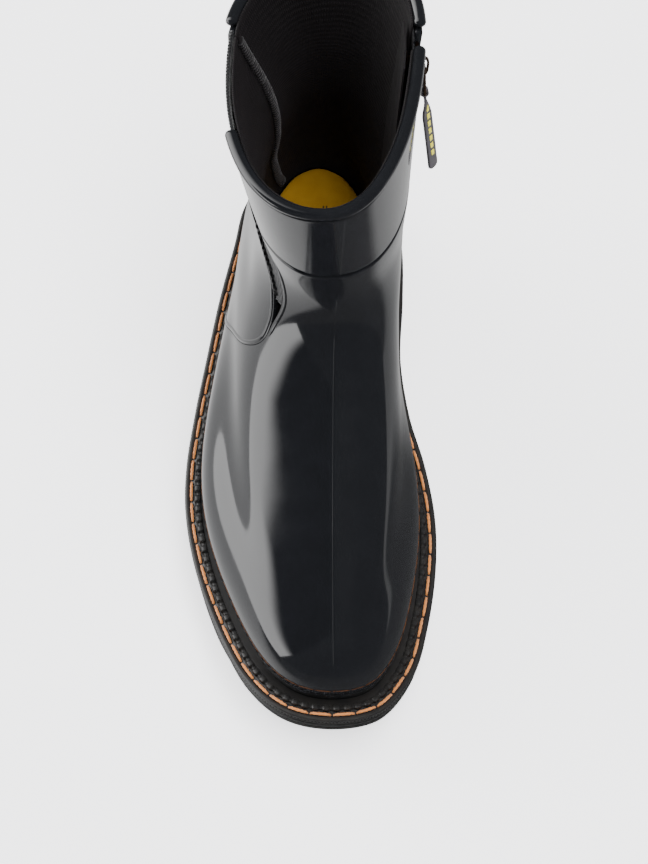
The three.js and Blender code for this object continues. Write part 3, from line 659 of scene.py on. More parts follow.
def glossyPvc():
    # plasticised PVC, slush moulded against a polished tool: wet-looking skin with a faint ripple,
    # a few dull handling marks and dust
    material, tree, shader, place = newMaterial("mouldedGlossPvc", "#141518", 0.09, IOR=1.53)
    ripple = noise(tree, place, 26, 1.0)
    marks = noise(tree, place, 9, 5.0, 0.62)
    grain = noise(tree, place, 1.1, 2.0)
    roughSpread(tree, shader, marks.outputs["Fac"], 0.045, 0.15)
    colorSpread(tree, shader, marks.outputs["Fac"], "#111214", "#17181b")
    mixed = addNode(tree, "ShaderNodeMath", {"operation": "MULTIPLY_ADD"}, {1: 0.02},
                    {0: grain.outputs["Fac"], 2: ripple.outputs["Fac"]})
    bumpFrom(tree, shader, mixed.outputs[0], 0.25, 0.5)
    shader.inputs["Coat Weight"].default_value = 0.25
    shader.inputs["Coat Roughness"].default_value = 0.03
    return material


def waxedThread(name, dark, light):
    # twisted waxed polyester, plies of about 0.7 mm; its fibres give it a soft sheen
    return mottled(name, light, 0.6, (0.6, 3.0), (dark, light), bump=(0.4, 0.1),
                   **{"IOR": 1.5, "Sheen Weight": 0.25})


def knitJersey():
    # brushed polyester jersey: knit wales 0.6 mm apart, drawn at 1.1 mm so that they show,
    # under a short nap that scatters light at its edges
    material, tree, shader, place = newMaterial("brushedJersey", "#121112", 0.95)
    wales = wave(tree, place, "X", 1.1, 0.6, Detail=1.0)
    courses = wave(tree, place, "Y", 1.3, 0.8, Detail=1.0)
    nap = noise(tree, place, 3, 5.0, 0.7)
    loops = combine(tree, "MULTIPLY", wales.outputs["Fac"], courses.outputs["Fac"])
    height = combine(tree, "ADD", loops, nap.outputs["Fac"])
    colorSpread(tree, shader, height, "#0d0c0d", "#1a1819")
    bumpFrom(tree, shader, height, 0.8, 0.3)
    shader.inputs["Sheen Weight"].default_value = 0.12
    shader.inputs["Sheen Roughness"].default_value = 0.5
    shader.inputs["Sheen Tint"].default_value = hexColor("#5a5558")
    return material


def ribbedElastic():
    # woven polyester elastic: cords 1.7 mm apart under a fine plain weave
    material, tree, shader, place = newMaterial("ribbedElastic", "#111112", 0.85)
    picks = wave(tree, place, "Y", 0.9, 0.4)
    lint = noise(tree, place, 4, 4.0, 0.6)
    colorSpread(tree, shader, lint.outputs["Fac"], "#0c0c0d", "#1c1c1e")
    bumpFrom(tree, shader, picks.outputs["Fac"], 0.5, 0.12)
    shader.inputs["Sheen Weight"].default_value = 0.2
    return material


def zipTapeWeave():
    # polyester zip tape, herringbone woven
    material, tree, shader, place = newMaterial("wovenZipTape", "#151516", 0.88)
    weave = wave(tree, place, "DIAGONAL", 1.0, 0.2, "Object")
    colorSpread(tree, shader, weave.outputs["Fac"], "#0e0e0f", "#202022")
    bumpFrom(tree, shader, weave.outputs["Fac"], 0.5, 0.1)
    return material


def shankSteel():
    # cold-rolled spring steel strip with a light oil film
    material, tree, shader, place = newMaterial("rolledSpringSteel", "#8e9093", 0.35, Metallic=1.0)
    rolling = addNode(tree, "ShaderNodeMapping", None, {"Scale": (1.0, 0.04, 1.0)},
                      {"Vector": place.outputs["Object"]})
    streaks = addNode(tree, "ShaderNodeTexNoise", None, {"Scale": perMm(0.8), "Detail": 3.0},
                      {"Vector": rolling.outputs["Vector"]})
    colorSpread(tree, shader, streaks.outputs["Fac"], "#7a7c7f", "#a3a5a8")
    roughSpread(tree, shader, streaks.outputs["Fac"], 0.25, 0.45)
    return material


def coatedTab():
    # polyurethane-coated webbing, cut to a strap: dull, with a fine leather-like emboss
    material, tree, shader, place = newMaterial("coatedWebbing", "#3d3a3d", 0.5, IOR=1.5)
    emboss = addNode(tree, "ShaderNodeTexVoronoi", {"feature": "SMOOTH_F1"}, {"Scale": perMm(0.8)},
                     {"Vector": place.outputs["Object"]})
    scuffs = noise(tree, place, 5, 4.0, 0.6)
    colorSpread(tree, shader, scuffs.outputs["Fac"], "#333034", "#4a474b")
    roughSpread(tree, shader, scuffs.outputs["Fac"], 0.4, 0.62)
    bumpFrom(tree, shader, emboss.outputs["Distance"], 0.4, 0.15)
    return material


finish = {
    "pvc": glossyPvc(),
    # injected PVC welt with a fine spark-eroded texture: satin, dusty in its corners
    "welt": mottled("injectedWeltPvc", "#2d2e33", 0.32, (7, 4.0, 0.6), ("#16171a", "#2c2a27"),
                    (0.22, 0.45), (0.5, 2.0), (0.35, 0.08), IOR=1.52),
    # vulcanised carbon-black rubber, pressed in a blasted mould: matt and slightly chalky
    "sole": mottled("pressedSoleRubber", "#303134", 0.55, (14, 5.0, 0.6), ("#161719", "#2d2d2a"),
                    (0.42, 0.68), (0.7, 3.0), (0.5, 0.12), IOR=1.52),
    "thread": waxedThread("orangeWaxedThread", "#a8622c", "#dc9050"),
    "blackThread": waxedThread("blackWaxedThread", "#0e0d0e", "#2a282a"),
    "jersey": knitJersey(),
    # polyurethane foam faced with mustard pigskin suede-look textile, felted nap
    "insole": mottled("mustardFoamInsole", "#b58a1c", 0.9, (11, 4.0, 0.6), ("#7d5b0c", "#9c7520"),
                      grain=(0.8, 3.0, 0.7), bump=(0.7, 0.25),
                      **{"Sheen Weight": 0.3, "Sheen Tint": hexColor("#b08a30")}),
    # screen-printed plastisol ink, thin and nearly matt
    "ink": mottled("darkPrintInk", "#2b2414", 0.7, (0.9, 3.0), ("#221c10", "#3b3118")),
    # high-build yellow print on the tab, slightly cracked where it bends
    "yellow": mottled("yellowPrintInk", "#d8cf2a", 0.5, (0.8, 3.0), ("#b9b01c", "#e2da3a"),
                      bump=(0.3, 0.05)),
    "elastic": ribbedElastic(),
    "tape": zipTapeWeave(),
    # die-cast zinc, plated dark copper-nickel and tumbled: warm where it is rubbed
    "metal": mottled("platedZincCasting", "#4a4644", 0.28, (2.2, 4.0, 0.6),
                     ("#35312f", "#8a6f5c"), (0.18, 0.4), bump=(0.15, 0.08), Metallic=1.0),
    "steel": shankSteel(),
    # cellulose insole board, calendered: flecked and dry
    "board": mottled("celluloseBoard", "#9c8a6c", 0.9, (1.4, 5.0, 0.7), ("#86765a", "#b3a281"),
                     bump=(0.4, 0.1)),
    "tab": coatedTab(),
}

print("stage: upper")

rimLow = build["rimHeight"] * gz - build["beadRadius"] - build["clearance"]
cuffLow = rimLow - build["cuffHeight"]


def cuffEdge(drop):
    # the cuff's lower edge dips towards the zip
    dip = build["cuffDip"] * gz * smoothStep(np.sin(ringAngles))
    return toHeight(cuffLow - dip - drop)


halfSlot = build["zipSlot"] / 2
edgeShift = build["clearance"] / 2
shellTop = cuffEdge(build["clearance"])

upper = {
    "vampCols": 190,
    "vampRows": 110,
    "quarterCols": 150,
    "quarterRows": 110,
    "cuffRows": 26,
    "frontCuffCols": 150,
    "rearCuffCols": 110,
    "frontBeadRings": 260,
    "rearBeadRings": 200,
    "beadEndLength": 2.4,
    "cuffSoftness": 0.7,
    "edgeSoftness": 0.45,
    "footDrop": 0.8,
    "grooveDepth": 1.6,
    "grooveWidth": 1.5,
    "swell": 1.15,
    "swellLength": 20,
}


def shellPiece(name, node, start, end, cols, rows):
    angle, v = panelNet(feather, shellTop, start, end, cols, rows, fineTop=16)
    plain = last(angle, v)
    below = plain[-1:, :, 2] - plain[..., 2]
    swell = upper["swell"] * (1 - smoothStep(below / upper["swellLength"]))
    groove = upper["grooveDepth"] * (1 - smoothStep(below / upper["grooveWidth"]))
    points = skin(angle, v, groove - swell)
    foot = points[:1] - (0, 0, upper["footDrop"])
    piece = netMesh(name, np.concatenate([foot, points]))
    addWall(piece, build["shellWall"], upper["edgeSoftness"], 3)
    dress(piece, finish["pvc"])
    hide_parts(node)


vampEnd = innerEdge(-halfSlot, -edgeShift)
quarterStart = innerEdge(halfSlot, edgeShift)
goreFrontEdge = seam(-1, goreFrontLine, -edgeShift)
shellPiece("vampMoulding", "vamp_shell", goreFrontEdge, vampEnd, upper["vampCols"], upper["vampRows"])
shellPiece("quarterMoulding", "quarter_shell", quarterStart, goreRear(edgeShift),
           upper["quarterCols"], upper["quarterRows"])


def cuffPiece(name, node, start, end, cols):
    low, high = cuffEdge(0), toHeight(rimLow)
    angle, v = panelNet(low, high, start, end, cols, upper["cuffRows"])
    piece = netMesh(name, skin(angle, v, -build["cuffStep"]))
    addWall(piece, build["cuffStep"] + build["shellWall"], upper["cuffSoftness"], 4)
    dress(piece, finish["pvc"])
    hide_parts(node)


zipFrontEdge = seam(1, zipLine, -halfSlot - edgeShift)
zipRearEdge = seam(1, zipLine, halfSlot + edgeShift)
cuffPiece("frontCuffBand", "front_cuff", goreFrontEdge, zipFrontEdge, upper["frontCuffCols"])
cuffPiece("rearCuffBand", "rear_cuff", zipRearEdge, goreRear(edgeShift), upper["rearCuffCols"])


def edgeAngle(cross, v):
    return cross(lambda a: np.broadcast_to(v, np.shape(a)), len(np.atleast_1d(v)))


def rimBead(name, node, start, end, count):
    one = np.ones(1)
    a0 = edgeAngle(start, one)[0]
    a1 = edgeAngle(end, one)[0]
    t = np.linspace(0, 1, count)
    angle = a0 + (a1 - a0) * t
    out = lastNormal(angle, 1.0)
    out[:, 2] = 0
    out /= np.linalg.norm(out, axis=1, keepdims=True)
    centres = last(angle, 1.0) + out * (build["cuffStep"] - build["shellWall"]) / 2
    reach = (build["beadRadius"] + build["cuffStep"] + build["shellWall"]) / 2
    along = np.concatenate([[0], np.cumsum(np.linalg.norm(np.diff(centres, axis=0), axis=1))])
    fromEnd = np.minimum(along, along[-1] - along)
    nearEnd = 1 - np.clip(fromEnd / upper["beadEndLength"], 0, 1)
    swell = np.sqrt(np.clip(1 - nearEnd ** 2, 0.02, 1))
    section = [(x * swell, z * swell) for x, z in circleSection(reach, build["beadRadius"], 20)]
    ups = np.tile((0.0, 0.0, 1.0), (count, 1))
    piece = ringSweep(name, centres, out, ups, section)
    dress(piece, finish["pvc"])
    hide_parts(node)


def zipSeam(shift):
    return seam(1, zipLine, shift)


rimBead("frontRimRoll", "front_rim_bead", seam(-1, goreFrontLine, -2 * build["clearance"]),
        zipSeam(-halfSlot - build["clearance"]), upper["frontBeadRings"])
rimBead("rearRimRoll", "rear_rim_bead", zipSeam(halfSlot + build["clearance"]),
        goreRear(build["clearance"]), upper["rearBeadRings"])


def seamPath(cross, low, high, count, depth):
    # points and directions along a seam between two heights
    z = np.linspace(low, high, count)
    angle = np.zeros(count)
    v = np.zeros(count)
    for i, height in enumerate(z):
        row = heightRow(height)
        angle[i] = cross(lambda a, row=row: row(a), 1)[0]
        v[i] = row(angle[i:i + 1])[0]
    return skin(angle, v, depth), lastNormal(angle, v)


ringV = np.linspace(0, 1, 241)
ringZ = last(ringAngles[::8, None], ringV[None])[:, :, 2]


def heightRow(z):
    rise = np.array([np.interp(z, column, ringV) for column in ringZ])
    return lambda a: np.interp(a, ringAngles[::8], rise, period=fullTurn)


def pathSides(points, normals):
    along = np.gradient(points, axis=0)
    along /= np.linalg.norm(along, axis=1, keepdims=True)
    across = np.cross(normals, along)
    return across / np.linalg.norm(across, axis=1, keepdims=True)


def edgeRoll(name, points, normals, halfWidth, height, around=12):
    # a half-round raised edge that follows a seam
    taper = smoothStep(np.minimum(np.arange(len(points)), np.arange(len(points))[::-1]) / 5)
    section = [(x * (0.3 + 0.7 * taper), z * (0.3 + 0.7 * taper))
               for x, z in circleSection(halfWidth, height, around)]
    piece = ringSweep(name, points, pathSides(points, normals), normals, section)
    dress(piece, finish["pvc"])


edges = {
    # the height where a roll begins, and its number of points
    "goreRoll": (93, 90),
    "lobeRoll": (40, 160),
    "goreEdgeIn": 1.5,
    "lobeEdgeIn": 1.7,
    "underCuff": 1.5,
    "rollWidth": 0.85,
    "rollHeight": 0.5,
    "partingWidth": 0.32,
    "partingHeight": 0.13,
}

for name, cross, low, count in (
    ("goreFrontEdgeRoll", seam(-1, goreFrontLine, -edges["goreEdgeIn"]), *edges["goreRoll"]),
    ("outerLobeEdgeRoll", goreRear(edges["lobeEdgeIn"]), *edges["lobeRoll"]),
    ("innerLobeEdgeRoll", innerEdge(halfSlot, edges["lobeEdgeIn"]), *edges["lobeRoll"]),
):
    points, normals = seamPath(cross, low, cuffLow - edges["underCuff"], count, 0)
    edgeRoll(name, points, normals, edges["rollWidth"], edges["rollHeight"])

partingLine = [(25, 11.6), (60, 10), (100, 10.5), (140, 12.8), (180, 14.5)]


def partingRidge(name, low, high, depth):
    # flash line left where the two halves of the mould met
    v = np.linspace(low, high, 240)

    def offLine(a):
        p = last(a, v)
        return p[:, 0] - through(partingLine, p[:, 2] / gz) * gx

    angle = solve(offLine, np.full_like(v, -0.7), np.full_like(v, 0.9))
    edgeRoll(name, skin(angle, v, depth), lastNormal(angle, v), edges["partingWidth"],
             edges["partingHeight"], around=8)


partingRidge("vampPartingLine", 0.02, float(shellTop(0.1)) - 0.004, 0)
partingRidge("cuffPartingLine", float(cuffEdge(-1)(0.3)), float(toHeight(rimLow - 0.5)(0.3)),
             -build["cuffStep"])


print("stage: gore and linings")

cloth = {
    "goreCols": 170,
    "goreRows": 70,
    "goreWall": 1.3,
    "goreLow": 106,
    "goreCord": 1.7,
    "cordDepth": 0.16,
    "liningCols": 150,
    "liningRows": 110,
    "liningWall": 0.8,
}


def netSpan(points):
    # width and height of a net of points, along its middle row and column
    middleRow = points[points.shape[0] // 2]
    middleCol = points[:, points.shape[1] // 2]
    width = np.linalg.norm(np.diff(middleRow, axis=0), axis=1).sum()
    height = np.linalg.norm(np.diff(middleCol, axis=0), axis=1).sum()
    return float(width), float(height)


def goreSheet():
    low, high = toHeight(cloth["goreLow"] * gz), toHeight(build["rimHeight"] * gz - 1)
    angle, v = panelNet(low, high, seam(-1, goreRearLine, -2 * build["clearance"]),
                        seam(-1, goreFrontLine, 2 * build["clearance"]), cloth["goreCols"],
                        cloth["goreRows"])
    flat = skin(angle, v, 0.5)
    cords = cloth["cordDepth"] * np.cos(fullTurn * flat[..., 1] / cloth["goreCord"])
    points = skin(angle, v, 0.6 + cords)
    top = np.linalg.norm(np.diff(points[-1], axis=0), axis=1).sum()
    height = netSpan(points)[1]
    piece = netMesh("goreElasticWeb", points, uvSize=(top, height))
    addWall(piece, cloth["goreWall"])
    dress(piece, finish["elastic"])
    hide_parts("gore_elastic")


goreSheet()


def liningSheet(name, node, start, end, cols):
    floor = last(ringAngles, 0.0)[:, 2]
    low = toHeight(lambda a: floor + 3)
    high = toHeight(build["rimHeight"] * gz - 0.5)
    angle, v = panelNet(low, high, start, end, cols, cloth["liningRows"])
    plain = last(angle, v)
    rise = plain[..., 2]
    folds = (0.14 * np.sin(5 * angle + rise / 13) + 0.1 * np.sin(11 * angle - rise / 7)
             + 0.08 * np.sin(rise / 4.5 + 3 * angle))
    points = skin(angle, v, build["liningDepth"] - 0.3 + folds)
    width, height = netSpan(points)
    piece = netMesh(name, points, uvSize=(width, height))
    addWall(piece, cloth["liningWall"])
    dress(piece, finish["jersey"])
    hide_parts(node)
    cut = (max(width, netSpan(points[:1].repeat(2, 0))[0]) * mm, height * mm)


liningSplit = 7


def liningRearEnd(rowOf, count):
    return seam(-1, liningSeamLine, edgeShift)(rowOf, count) + fullTurn


liningSheet("frontLiningJersey", "front_lining", seam(-1, liningSeamLine, -edgeShift),
            zipSeam(-liningSplit), cloth["liningCols"])
liningSheet("rearLiningJersey", "rear_lining", zipSeam(liningSplit), liningRearEnd, 90)

overlock = {
    "low": 47,
    "high": 177,
    "lean": 0.35,
    "standOff": 0.15,
    "depth": 4.9,
    "halfWidth": 2.1,
    "height": 0.8,
    "pitch": 1.7,
    "threadRadius": 0.36,
}


def overlockSeam():
    # the two linings are joined by a raised overlocked seam, threads side by side across it
    points, normals = seamPath(seam(-1, liningSeamLine, 0), overlock["low"], overlock["high"],
                               150, overlock["depth"])
    across = pathSides(points, normals)
    section = circleSection(overlock["halfWidth"], overlock["height"], 14)
    ridge = ringSweep("liningSeamRidge", points, across, -normals, section)
    dress(ridge, finish["jersey"])
    length = np.linalg.norm(np.diff(points, axis=0), axis=1).sum()
    count = int(length / overlock["pitch"])
    arc = np.linspace(-0.15 * math.pi, 1.15 * math.pi, 11)
    bm = bmesh.new()
    for i in range(count):
        at = (i + 0.5) / count * (len(points) - 1)
        j = int(at)
        base, side, inward = points[j], across[j], -normals[j]
        forward = (points[min(j + 1, len(points) - 1)] - points[j - 1])
        forward /= np.linalg.norm(forward)
        lean = overlock["lean"] * np.linspace(-1, 1, len(arc))[:, None] * overlock["pitch"] * forward
        line = (base + np.cos(arc)[:, None] * side * (overlock["halfWidth"] + overlock["standOff"])
                + np.sin(arc)[:, None] * inward * (overlock["height"] + overlock["standOff"]) + lean)
        outward = np.cos(arc)[:, None] * side + np.sin(arc)[:, None] * inward
        addTube(bm, line, outward, overlock["threadRadius"], 6)
    piece = bmToObject(bm, "liningOverlockThread")
    dress(piece, finish["blackThread"])


def addTube(bm, line, outward, radius, around, twist=0.0, ply=0.0, taper=None):
    # a closed thread along a line, with rounded ends, added to a mesh
    along = np.gradient(line, axis=0)
    along /= np.linalg.norm(along, axis=1, keepdims=True)
    side = np.cross(along, outward)
    side /= np.linalg.norm(side, axis=1, keepdims=True)
    up = np.cross(side, along)
    count = len(line)
    swell = np.ones(count) if taper is None else taper
    points = np.zeros((count + 2, around + 1, 3))
    for k in range(around + 1):
        w = fullTurn * (k % around) / around
        strand = radius * swell * (1 + ply * np.cos(2 * (w - twist * np.arange(count))))
        points[1:-1, k] = (line + side * (np.cos(w) * strand)[:, None]
                           + up * (np.sin(w) * strand)[:, None])
    points[0] = line[0] - along[0] * radius * 0.5
    points[-1] = line[-1] + along[-1] * radius * 0.5
    part = netBm(points, closedShell=True)
    mesh = bpy.data.meshes.new("part")
    part.to_mesh(mesh)
    part.free()
    bm.from_mesh(mesh)
    bpy.data.meshes.remove(mesh)


overlockSeam()


print("stage: sole unit")

sole = {
    "weltInner": 24,
    "serration": 1.5,
    "serrationDepth": 0.32,
    "ribInset": 5.9,
    "ribHalf": 1.35,
    "ribHeight": 1.75,
    "ribPitch": 5.2,
    "threadInset": 3,
    "threadRadius": 0.64,
    "stitchPitch": 10.5,
    "outsoleThickness": 3.2,
    "lugHeight": 2.8,
    "lugPitch": 13,
    "lugGroove": 4.5,
    "midsoleInset": 1.3,
    "outsoleInset": 1.2,
    "toeTuck": 4,
    "treadSetIn": 2,
    "topPiece": 7,
    "heelLength": 82,
    "footbedInset": 14.6,
    "footbedThickness": 4.5,
    "boardThickness": 2,
    "printFrom": 52,
    "printTo": 108,
    "printMiddle": 0.4,
    "printOffsets": (5.4, 6.9),
    "printHalf": 0.4,
}
clearance = build["clearance"]


def lerpHeights(bottom, top, f):
    return lambda y: bottom(y) + (top(y) - bottom(y)) * f


def outsoleTop(y):
    return treadBottom(y) + sole["lugHeight"] + sole["outsoleThickness"]


def midsoleTop(y):
    return weltTop(y) - build["weltThickness"] - clearance


outlineLengths = np.linspace(0, outlineCount, 2601)
outlineSteps = outlineAt(outlineLengths)
outlineRun = np.concatenate([[0], np.cumsum(np.linalg.norm(np.diff(outlineSteps, axis=0), axis=1))])
perimeter = outlineRun[-1]


def atRun(distance):
    # outline parameter a distance round the edge from the toe
    return np.interp(np.mod(distance, perimeter), outlineRun, outlineLengths)


def edgeRing(name, columns, sections):
    # a closed section carried all round the outline; each point has an inset and a height
    t = atRun(perimeter * np.arange(columns + 1) / columns)
    t[-1] = t[0]
    points = np.zeros((len(sections) + 1, columns + 1, 3))
    for k in range(len(sections) + 1):
        inset, height = sections[k % len(sections)]
        inset = inset if np.ndim(inset) else np.full(columns + 1, float(inset))
        xy = insetAt(t, inset)
        rise = height(xy[:, 1]) if callable(height) else weltTop(xy[:, 1]) + height
        points[k, :, :2] = xy
        points[k, :, 2] = rise
    return netMesh(name, points, closedShell=True)


def weltStrip():
    columns = int(perimeter / sole["serration"]) * 4
    tooth = np.array([0, 1, 1, 0])[np.arange(columns + 1) % 4] * sole["serrationDepth"]
    sections = [
        (sole["weltInner"], 0), (12, 0), (9, 0), (7.6, 0), (4.4, 0), (4.15, -0.05), (3.85, -0.4),
        (3, -0.6), (2.15, -0.4), (1.85, -0.05), (1.6, 0), (0.9, 0), (0.35, -0.15),
        (0.1, -0.5), (tooth * 0.2, -0.75), (tooth, -0.95), (tooth, -2.65), (tooth * 0.2, -2.85),
        (0.1, -3.1), (0.35, -3.45), (0.9, -3.6), (12, -3.6), (sole["weltInner"], -3.6),
    ]
    piece = edgeRing("weltStrip", columns, sections)
    dress(piece, finish["welt"])
    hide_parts("welt")


def notchedRib():
    pitches = round(perimeter / sole["ribPitch"])
    perPitch = 12
    columns = pitches * perPitch
    phase = (np.arange(columns + 1) % perPitch) / perPitch
    crest = smoothStep((phase - 0.08) / 0.12) - smoothStep((phase - 0.66) / 0.12)
    outer = sole["ribInset"] - sole["ribHalf"] + 0.75 * (1 - crest)
    inner = sole["ribInset"] + sole["ribHalf"]
    high = sole["ribHeight"] * (0.42 + 0.58 * crest)

    def raised(share, drop=0.0):
        return lambda y: weltTop(y) + high * share - drop

    sections = [
        (outer - 0.15, 0.05), (outer, raised(0.55)), (outer + 0.12, raised(0.88)),
        (outer + 0.4, raised(1.0)), (inner - 0.4, raised(1.0)), (inner - 0.1, raised(0.88)),
        (np.full(columns + 1, inner), raised(0.5)), (np.full(columns + 1, inner + 0.1), 0.05),
    ]
    piece = edgeRing("weltNotchedRib", columns, sections)
    dress(piece, finish["welt"])
    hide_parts("welt_notched_rib")


def weltStitches():
    # each stitch of the twisted thread lies in the groove and dives at both ends
    count = round(perimeter / sole["stitchPitch"])
    bm = bmesh.new()
    for i in range(count):
        run = perimeter * (i + np.linspace(0.06, 0.94, 18)) / count
        t = atRun(run)
        s = np.linspace(-1, 1, 18)
        sag = np.abs(s) ** 4
        xy = insetAt(t, sole["threadInset"] + 0.1 * np.sin(i * 2.4))
        line = np.column_stack([xy, weltTop(xy[:, 1]) + 0.42 - 0.75 * sag])
        up = np.tile((0.0, 0.0, 1.0), (18, 1))
        taper = 1 - 0.3 * np.abs(s) ** 6
        addTube(bm, line, up, sole["threadRadius"], 10, twist=0.75, ply=0.13, taper=taper)
    piece = bmToObject(bm, "weltStitches")
    dress(piece, finish["thread"])
    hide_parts("welt_stitching")


weltStrip()
notchedRib()
weltStitches()

soleStations = 190
stationY = 0.5 - 0.5 * np.cos(math.pi * np.arange(soleStations + 1) / soleStations)
toeY, heelY = outlineAt(0.0)[1], outlineAt(float(heelIndex))[1]
stationY = toeY + (heelY - toeY) * stationY
innerT = outlineParameter(1, stationY)
outerT = outlineParameter(-1, stationY)
innerT[0], outerT[0] = 0, outlineCount
innerT[-1] = outerT[-1] = heelIndex
ringT = np.concatenate([innerT, outerT[-2::-1]])
spineX = (outlineAt(innerT)[:, 0] + outlineAt(outerT)[:, 0]) / 2
spineEnds = (-98 * gy, 102 * gy)


def soleBodyBm(sections, fractions=(0.35, 0.7)):
    # a solid of the sole's shape: sections run from the top's edge round to the underside's
    rows = []
    spineY = np.clip(np.concatenate([stationY, stationY[-2::-1]]), *spineEnds)
    spine = np.column_stack([np.interp(spineY, stationY, spineX), spineY])

    def ring(inset, height, share):
        xy = insetAt(ringT, inset)
        xy = xy + (spine - xy) * share
        rows.append(np.column_stack([xy, height(xy[:, 1])]))

    inset, height = sections[0]
    for share in (1, *fractions[::-1]):
        ring(inset, height, share)
    for inset, height in sections:
        ring(inset, height, 0)
    for share in (*fractions, 1):
        ring(inset, height, share)
    return netBm(np.array(rows), closedShell=True)


def midsoleBody():
    def level(f):
        return lerpHeights(midsoleTop, lambda y: outsoleTop(y) + clearance, f)

    side = sole["midsoleInset"]
    sections = [(side + 0.6, level(0)), (side + 0.1, level(0.03)), (side, level(0.08))]
    for groove in (0.3, 0.62):
        sections += [(side, level(groove - 0.035)), (side + 0.15, level(groove - 0.02)),
                     (side + 0.9, level(groove)), (side + 0.9, level(groove + 0.03)),
                     (side + 0.15, level(groove + 0.05)), (side, level(groove + 0.065))]
    sections += [(side, level(0.92)), (side + 0.1, level(0.97)), (side + 0.6, level(1))]
    piece = bmToObject(soleBodyBm(sections), "midsoleBody")
    dress(piece, finish["sole"])
    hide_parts("midsole")


def toeRoll(y):
    # the tread's edge rolls under at the toe
    return sole["toeTuck"] * (1 - smoothStep((y / gy + 142) / 47))


def roundedSides(inset, bottom, top, soft, roll=False):
    def inwards(extra):
        return (lambda y: inset + extra + toeRoll(y)) if roll else inset + extra

    return [(inwards(soft), top), (inwards(soft * 0.3), lambda y: top(y) - soft * 0.3),
            (inwards(0), lambda y: top(y) - soft), (inwards(0), lambda y: bottom(y) + soft),
            (inwards(soft * 0.3), lambda y: bottom(y) + soft * 0.3), (inwards(soft), bottom)]


def cutAcross(bm, y, keepHeel):
    cut = bmesh.ops.bisect_plane(bm, geom=bm.verts[:] + bm.edges[:] + bm.faces[:],
                                 plane_co=(0, y * mm, 0), plane_no=(0, 1, 0),
                                 clear_inner=keepHeel, clear_outer=not keepHeel)
    rim = [e for e in cut["geom_cut"] if isinstance(e, bmesh.types.BMEdge)]
    if rim:
        bmesh.ops.triangle_fill(bm, use_beauty=True, use_dissolve=False, edges=rim)


def joinBm(target, part):
    mesh = bpy.data.meshes.new("part")
    part.to_mesh(mesh)
    part.free()
    target.from_mesh(mesh)
    bpy.data.meshes.remove(mesh)


heelBreast = 145 * gy - sole["heelLength"]


def outsoleBody():
    lugTop = lambda y: treadBottom(y) + sole["lugHeight"]
    bm = soleBodyBm(roundedSides(sole["outsoleInset"], lugTop, outsoleTop, 0.5, roll=True))
    treadInset = sole["outsoleInset"] + sole["treadSetIn"]
    start = -145 * gy
    while start < heelBreast - sole["lugPitch"]:
        sides = roundedSides(treadInset, treadBottom, lambda y: lugTop(y) + 0.4, 0.4, roll=True)
        bar = soleBodyBm(sides, (0.5,))
        low = start + sole["lugGroove"] / 2
        high = low + sole["lugPitch"] - sole["lugGroove"]
        if low > -139 * gy:
            cutAcross(bar, low, True)
            cutAcross(bar, high, False)
            joinBm(bm, bar)
        else:
            bar.free()
        start += sole["lugPitch"]
    piece = bmToObject(bm, "outsoleTread")
    dress(piece, finish["sole"])
    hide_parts("outsole")


def flatAt(height):
    return lambda y: np.full_like(np.asarray(y, float), height)


def heelBodies():
    under = lambda y: treadBottom(y) + sole["lugHeight"] - clearance * 1.6
    for name, node, bottom, top in (
        ("heelBlockBody", "heel_block", flatAt(sole["topPiece"] + clearance), under),
        ("heelTopPieceBody", "heel_top_piece", flatAt(0), flatAt(sole["topPiece"])),
    ):
        bm = soleBodyBm(roundedSides(3, bottom, top, 0.5))
        cutAcross(bm, heelBreast, True)
        bmesh.ops.recalc_face_normals(bm, faces=bm.faces)
        piece = bmToObject(bm, name)
        dress(piece, finish["sole"])
        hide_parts(node)


def boardTop(y):
    return weltTop(y) + clearance + sole["boardThickness"]


def footbedTop(y):
    return boardTop(y) + clearance + sole["footbedThickness"]


def footbedPad():
    low = lambda y: boardTop(y) + clearance
    inset = sole["footbedInset"]
    sections = [
        (inset + 4, lambda y: footbedTop(y) - 0.2), (inset + 1.6, lambda y: footbedTop(y) - 0.25),
        (inset + 0.6, lambda y: footbedTop(y) - 0.6), (inset, lambda y: footbedTop(y) - 1.5),
        (inset, lambda y: low(y) + 0.5), (inset + 0.5, low),
    ]
    piece = bmToObject(soleBodyBm(sections, (0.3, 0.6, 0.85)), "footbedPad")
    dress(piece, finish["insole"])
    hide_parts("footbed")


def footbedLines():
    # generic printed decoration: two pairs of fine lines down the heel
    bm = bmesh.new()
    for side in (-1, 1):
        for offset in sole["printOffsets"]:
            addDecal(bm, sole["printMiddle"] + side * offset)
    piece = bmToObject(bm, "footbedPrintLines")
    dress(piece, finish["ink"])


def addDecal(bm, x):
    rows = 24
    width = sole["printHalf"]
    points = np.zeros((rows + 1, 5, 3))
    y = np.linspace(sole["printFrom"], sole["printTo"], rows + 1)
    top = footbedTop(y) - 0.2
    for k, (dx, dz) in enumerate(((-1, -0.1), (-0.9, 0.12), (0, 0.15), (0.9, 0.12), (1, -0.1))):
        points[:, k] = np.column_stack([x + dx * width * np.ones_like(y), y, top + dz])
    joinBm(bm, netBm(points))


midsoleBody()
outsoleBody()
heelBodies()
footbedPad()
footbedLines()


print("stage: zip")

